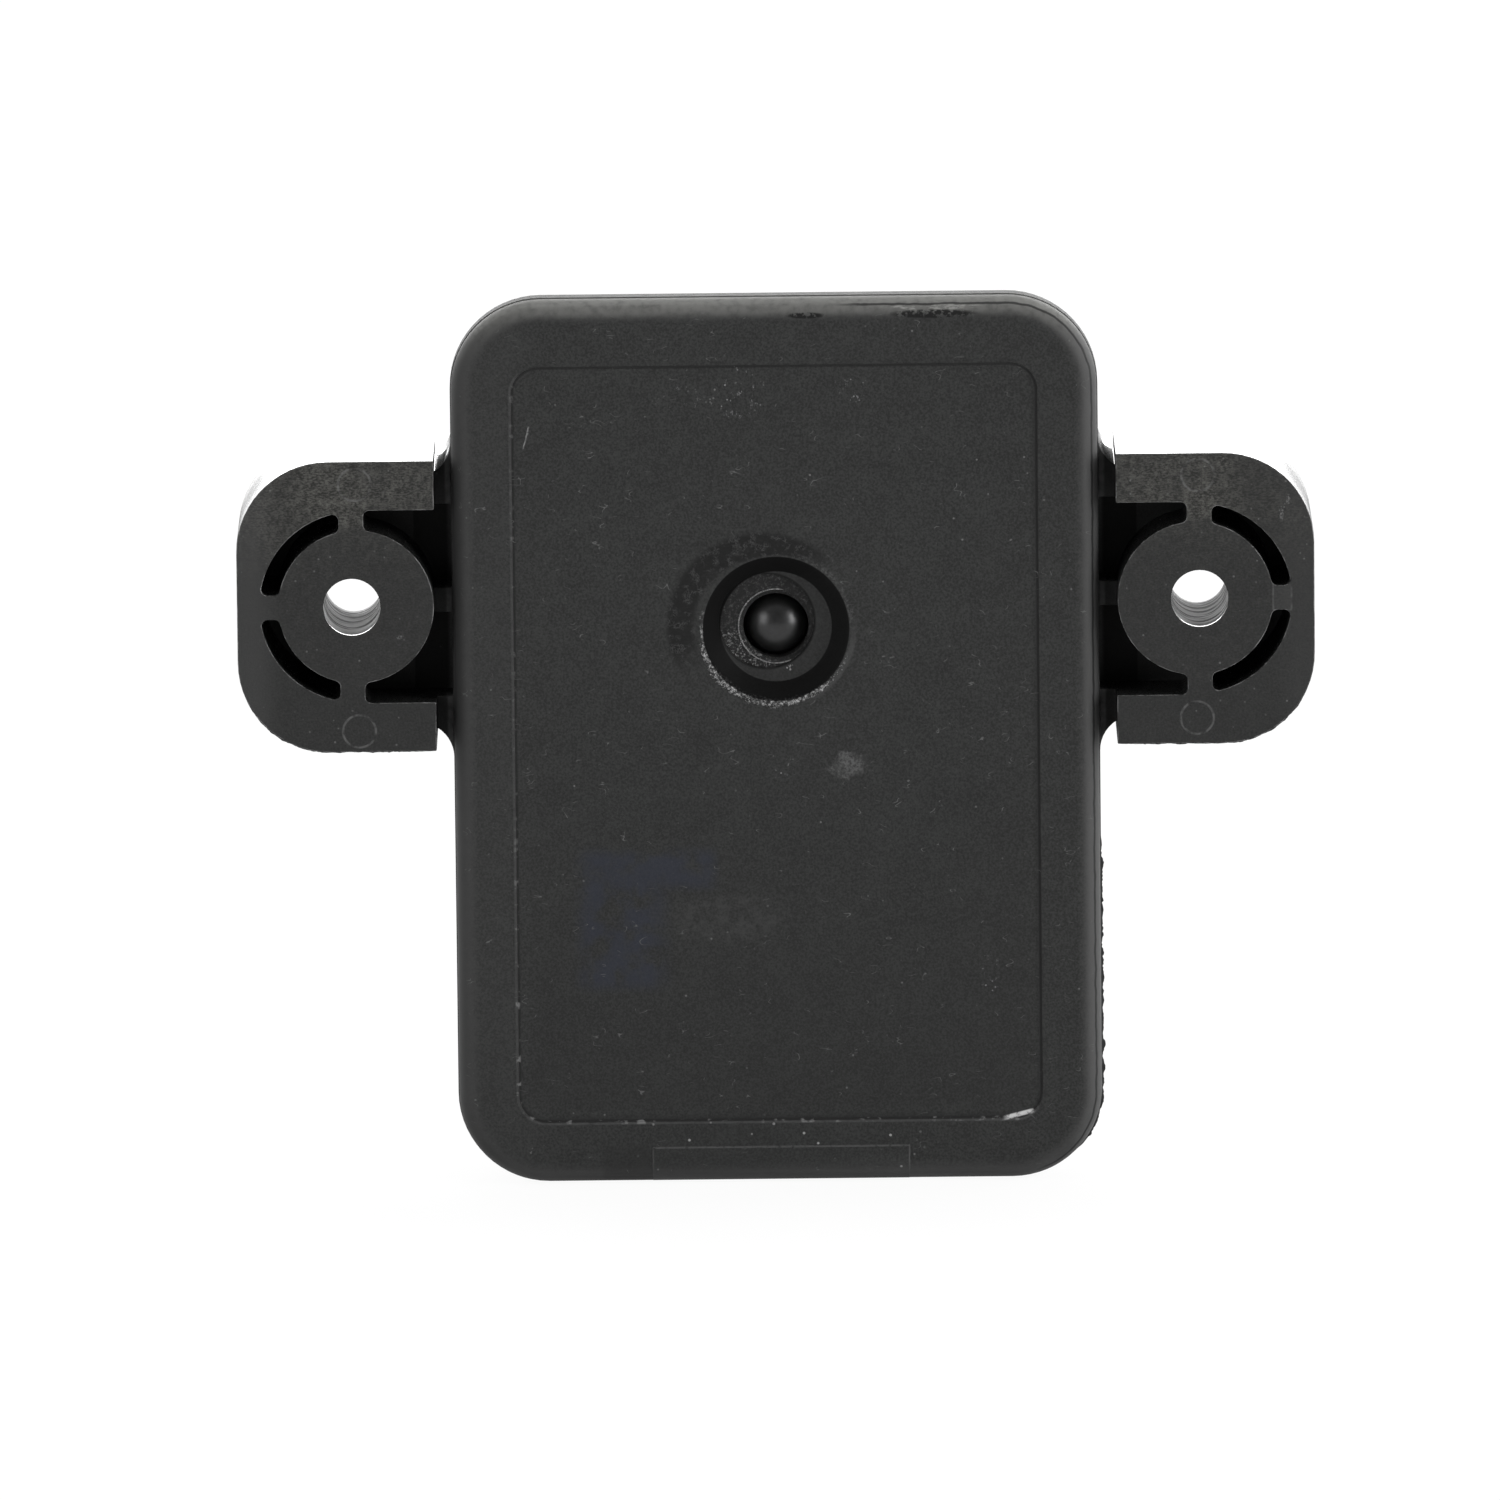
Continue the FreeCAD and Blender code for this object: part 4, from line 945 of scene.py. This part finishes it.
diode = cloudy("diode_epoxy", (0.012, 0.012, 0.012), (0.03, 0.03, 0.03), 0.2, 0.5)
diode_mid, diode_half = box_span("surge_diode")
band = diode.fade(abs(diode.z - diode_mid.z - diode_half.z + 0.8), 0.3, 0.25)
diode.set("Base Color", diode.blend(band * 0.8, diode.blend(diode.noise(0.2), grey(0.012), grey(0.03)), grey(0.4)))
wear(diode, "surge_diode")

resistor = Finish("trimmed_resistor", (0.62, 0.6, 0.56), 0.4)
resistor_mid, resistor_half = box_span("trim_resistors")
tinned = resistor.fade(abs(resistor.x - resistor_mid.x), resistor_half.x - 0.42, resistor_half.x - 0.36)
film = resistor.fade(resistor.facing("Y"), -0.6, -0.9)
cut = resistor.fade(abs(resistor.x - resistor_mid.x - 0.2), 0.06, 0.03)
resistor.paint(film, grey(0.015))
resistor.paint(film * cut * 0.7, grey(0.2))
resistor.paint(tinned, resistor.blend(resistor.noise(0.2), grey(0.5), grey(0.68)))
resistor.set("Metallic", tinned)
resistor.set("Roughness", 0.3 + resistor.noise(0.15) * 0.15)
resistor.bump(resistor.noise(0.15) * 0.006 - film * cut * 0.02)
wear(resistor, "trim_resistors")
print("chip, diode and resistors")


# %% Capacitors
def end_capped(name, node, dark, light):
    """Ceramic whose two ends along Z are dipped in tin."""
    made = Finish(name, dark, 0.45)
    middle, half = box_span(node)
    dipped = made.fade(abs(made.z - middle.z) + (made.noise(0.5) - 0.5) * 0.1, half.z - 0.5, half.z - 0.44)
    clay = made.noise(0.25, 4.0)
    made.paint(clay, (*light, 1))
    made.paint(dipped, made.blend(clay, grey(0.48), grey(0.66)))
    made.set("Metallic", dipped)
    made.set("Roughness", 0.5 - dipped * 0.2 + clay * 0.1)
    made.bump(clay * 0.01)
    wear(made, node)


end_capped("fired_ceramic", "filter_capacitors", (0.30, 0.19, 0.11), (0.44, 0.30, 0.18))
resin = cloudy("reservoir_resin", (0.46, 0.28, 0.03), (0.58, 0.38, 0.06), 0.6, 0.42)
resin_mid, resin_half = box_span("reservoir_capacitor")
stripe = resin.fade(resin.z - resin_mid.z, resin_half.z - 1.0, resin_half.z - 0.95)
grainy = resin.blend(resin.noise(0.6), (0.46, 0.28, 0.03, 1), (0.58, 0.38, 0.06, 1))
resin.set("Base Color", resin.blend(stripe * 0.85, grainy, (0.16, 0.09, 0.02, 1)))
wear(resin, "reservoir_capacitor")
print("capacitors with dipped ends and an end stripe")

# %% [markdown]
# ## Metal parts
# Leads and terminals are tinned strip, so their rolling marks run along their length.
# The cell's cap is drawn steel, whose fine scores follow the draw along Y, and the solder froze with a cloudy skin.
# The bond ribbons are gold. All of these are metals: their colour is the tint of their reflection.

# %% Metal finishes
def strip_metal(name, dark, light, roughness, scale):
    """Rolled metal: streaks run along the axis whose scale is small."""
    made = Finish(name, dark, roughness, metallic=1.0)
    streaks = made.noise(0.1, 3.0, made.stretched(*scale), 0.6)
    stain = made.noise(1.5, 3.0)
    made.paint(made.fade(streaks * 0.7 + stain * 0.3, 0.3, 0.7), (*light, 1))
    made.set("Roughness", roughness - 0.08 + streaks * 0.16)
    made.bump(streaks * 0.004)
    return made


blade_metal = strip_metal("tinned_strip", (0.50, 0.48, 0.43), (0.70, 0.68, 0.62), 0.32, (1, 1, 0.05))
wear(blade_metal, "terminal_ground", "terminal_signal", "terminal_supply")
lead_metal = strip_metal("tinned_leads", (0.46, 0.46, 0.46), (0.66, 0.66, 0.65), 0.3, (0.1, 1, 1))
wear(lead_metal, "amplifier_leads", "cell_leads")
cap_metal = strip_metal("drawn_steel", (0.40, 0.40, 0.41), (0.58, 0.58, 0.59), 0.3, (1, 0.05, 1))
wear(cap_metal, "cell_cap")
wear(strip_metal("gold_ribbon", (0.72, 0.50, 0.16), (0.88, 0.66, 0.26), 0.22, (0.1, 1, 1)), "bond_ribbons")
wear(cloudy("solder", (0.50, 0.50, 0.50), (0.70, 0.70, 0.71), 0.4, 0.26, metallic=1.0, relief=0.02),
     "terminal_solder")
print("blades, leads, cap, ribbons and solder")

# %% [markdown]
# ## Seals, resins and the sensing cell
# The adhesive bead and the potting are poured and cured, with slow waves and small bubbles under a smooth skin.
# The gasket is matt rubber with a faint bloom, the filter is sintered bronze grains, and the cell's base is alumina.
# The die is polished silicon with a square diaphragm, under clear gel that lets light through.

# %% Poured and moulded parts
def poured(name, dark, light, roughness):
    """A cured resin or adhesive: slow waves and a few bubbles under a smooth skin."""
    made = cloudy(name, dark, light, 2.0, roughness, relief=0.0)
    bubbles = made.fade(made.grains(1.1), 0.12, 0.06)
    made.bump(made.noise(1.6, 2.0) * 0.12 - bubbles * 0.05)
    return made


wear(poured("cured_adhesive", (0.022, 0.022, 0.024), (0.040, 0.040, 0.043), 0.35), "cover_seal")
wear(poured("potting_resin", (0.030, 0.030, 0.030), (0.055, 0.055, 0.055), 0.25), "terminal_potting")
wear(cloudy("gasket_rubber", (0.014, 0.014, 0.014), (0.034, 0.034, 0.036), 0.5, 0.75, relief=0.01), "port_gasket")
wear(cloudy("alumina", (0.66, 0.64, 0.59), (0.80, 0.78, 0.74), 0.3, 0.55, relief=0.008), "cell_base")

bronze = cloudy("sintered_bronze", (0.30, 0.19, 0.08), (0.55, 0.40, 0.22), 0.3, 0.45, metallic=0.9)
beads = bronze.grains(0.28)
bronze.bump((1 - beads) * 0.12)
bronze.set("Base Color", bronze.blend(bronze.fade(beads, 0.2, 0.6), (0.55, 0.40, 0.22, 1), (0.16, 0.10, 0.05, 1)))
wear(bronze, "port_filter")
print("seals, potting, gasket, base and filter")

# %% Die and gel
silicon = cloudy("polished_silicon", (0.09, 0.09, 0.12), (0.14, 0.14, 0.19), 0.8, 0.14, metallic=0.6)
die_mid, die_half = box_span("pressure_die")
bridge = abs(silicon.reach(die_mid.x, die_mid.z) - die_half.x * 0.55)
diaphragm = silicon.outline(die_mid.x, die_mid.z, die_half.x * 0.6, die_half.z * 0.6, 0.05)
lines = silicon.fade(abs(diaphragm), 0.05, 0.02).at_least(silicon.fade(bridge, 0.04, 0.02))
silicon.set("Base Color", silicon.blend(lines * 0.8, silicon.blend(silicon.noise(0.8), (0.09, 0.09, 0.12, 1),
                                                                   (0.14, 0.14, 0.19, 1)), (0.5, 0.5, 0.52, 1)))
wear(silicon, "pressure_die")

gel = Finish("clear_gel", (0.86, 0.87, 0.86), 0.06)
gel.set("Transmission Weight", 0.92)
gel.set("IOR", 1.41)
ripple = gel.noise(1.2, 2.0)
gel.set("Roughness", 0.04 + ripple * 0.05)
gel.bump(ripple * 0.05)
wear(gel, "die_gel")
worn = [name for name in nodes if nodes[name].data.materials and nodes[name].data.materials[0].users]
print("nodes with a finish:", len(worn), "of", len(nodes))
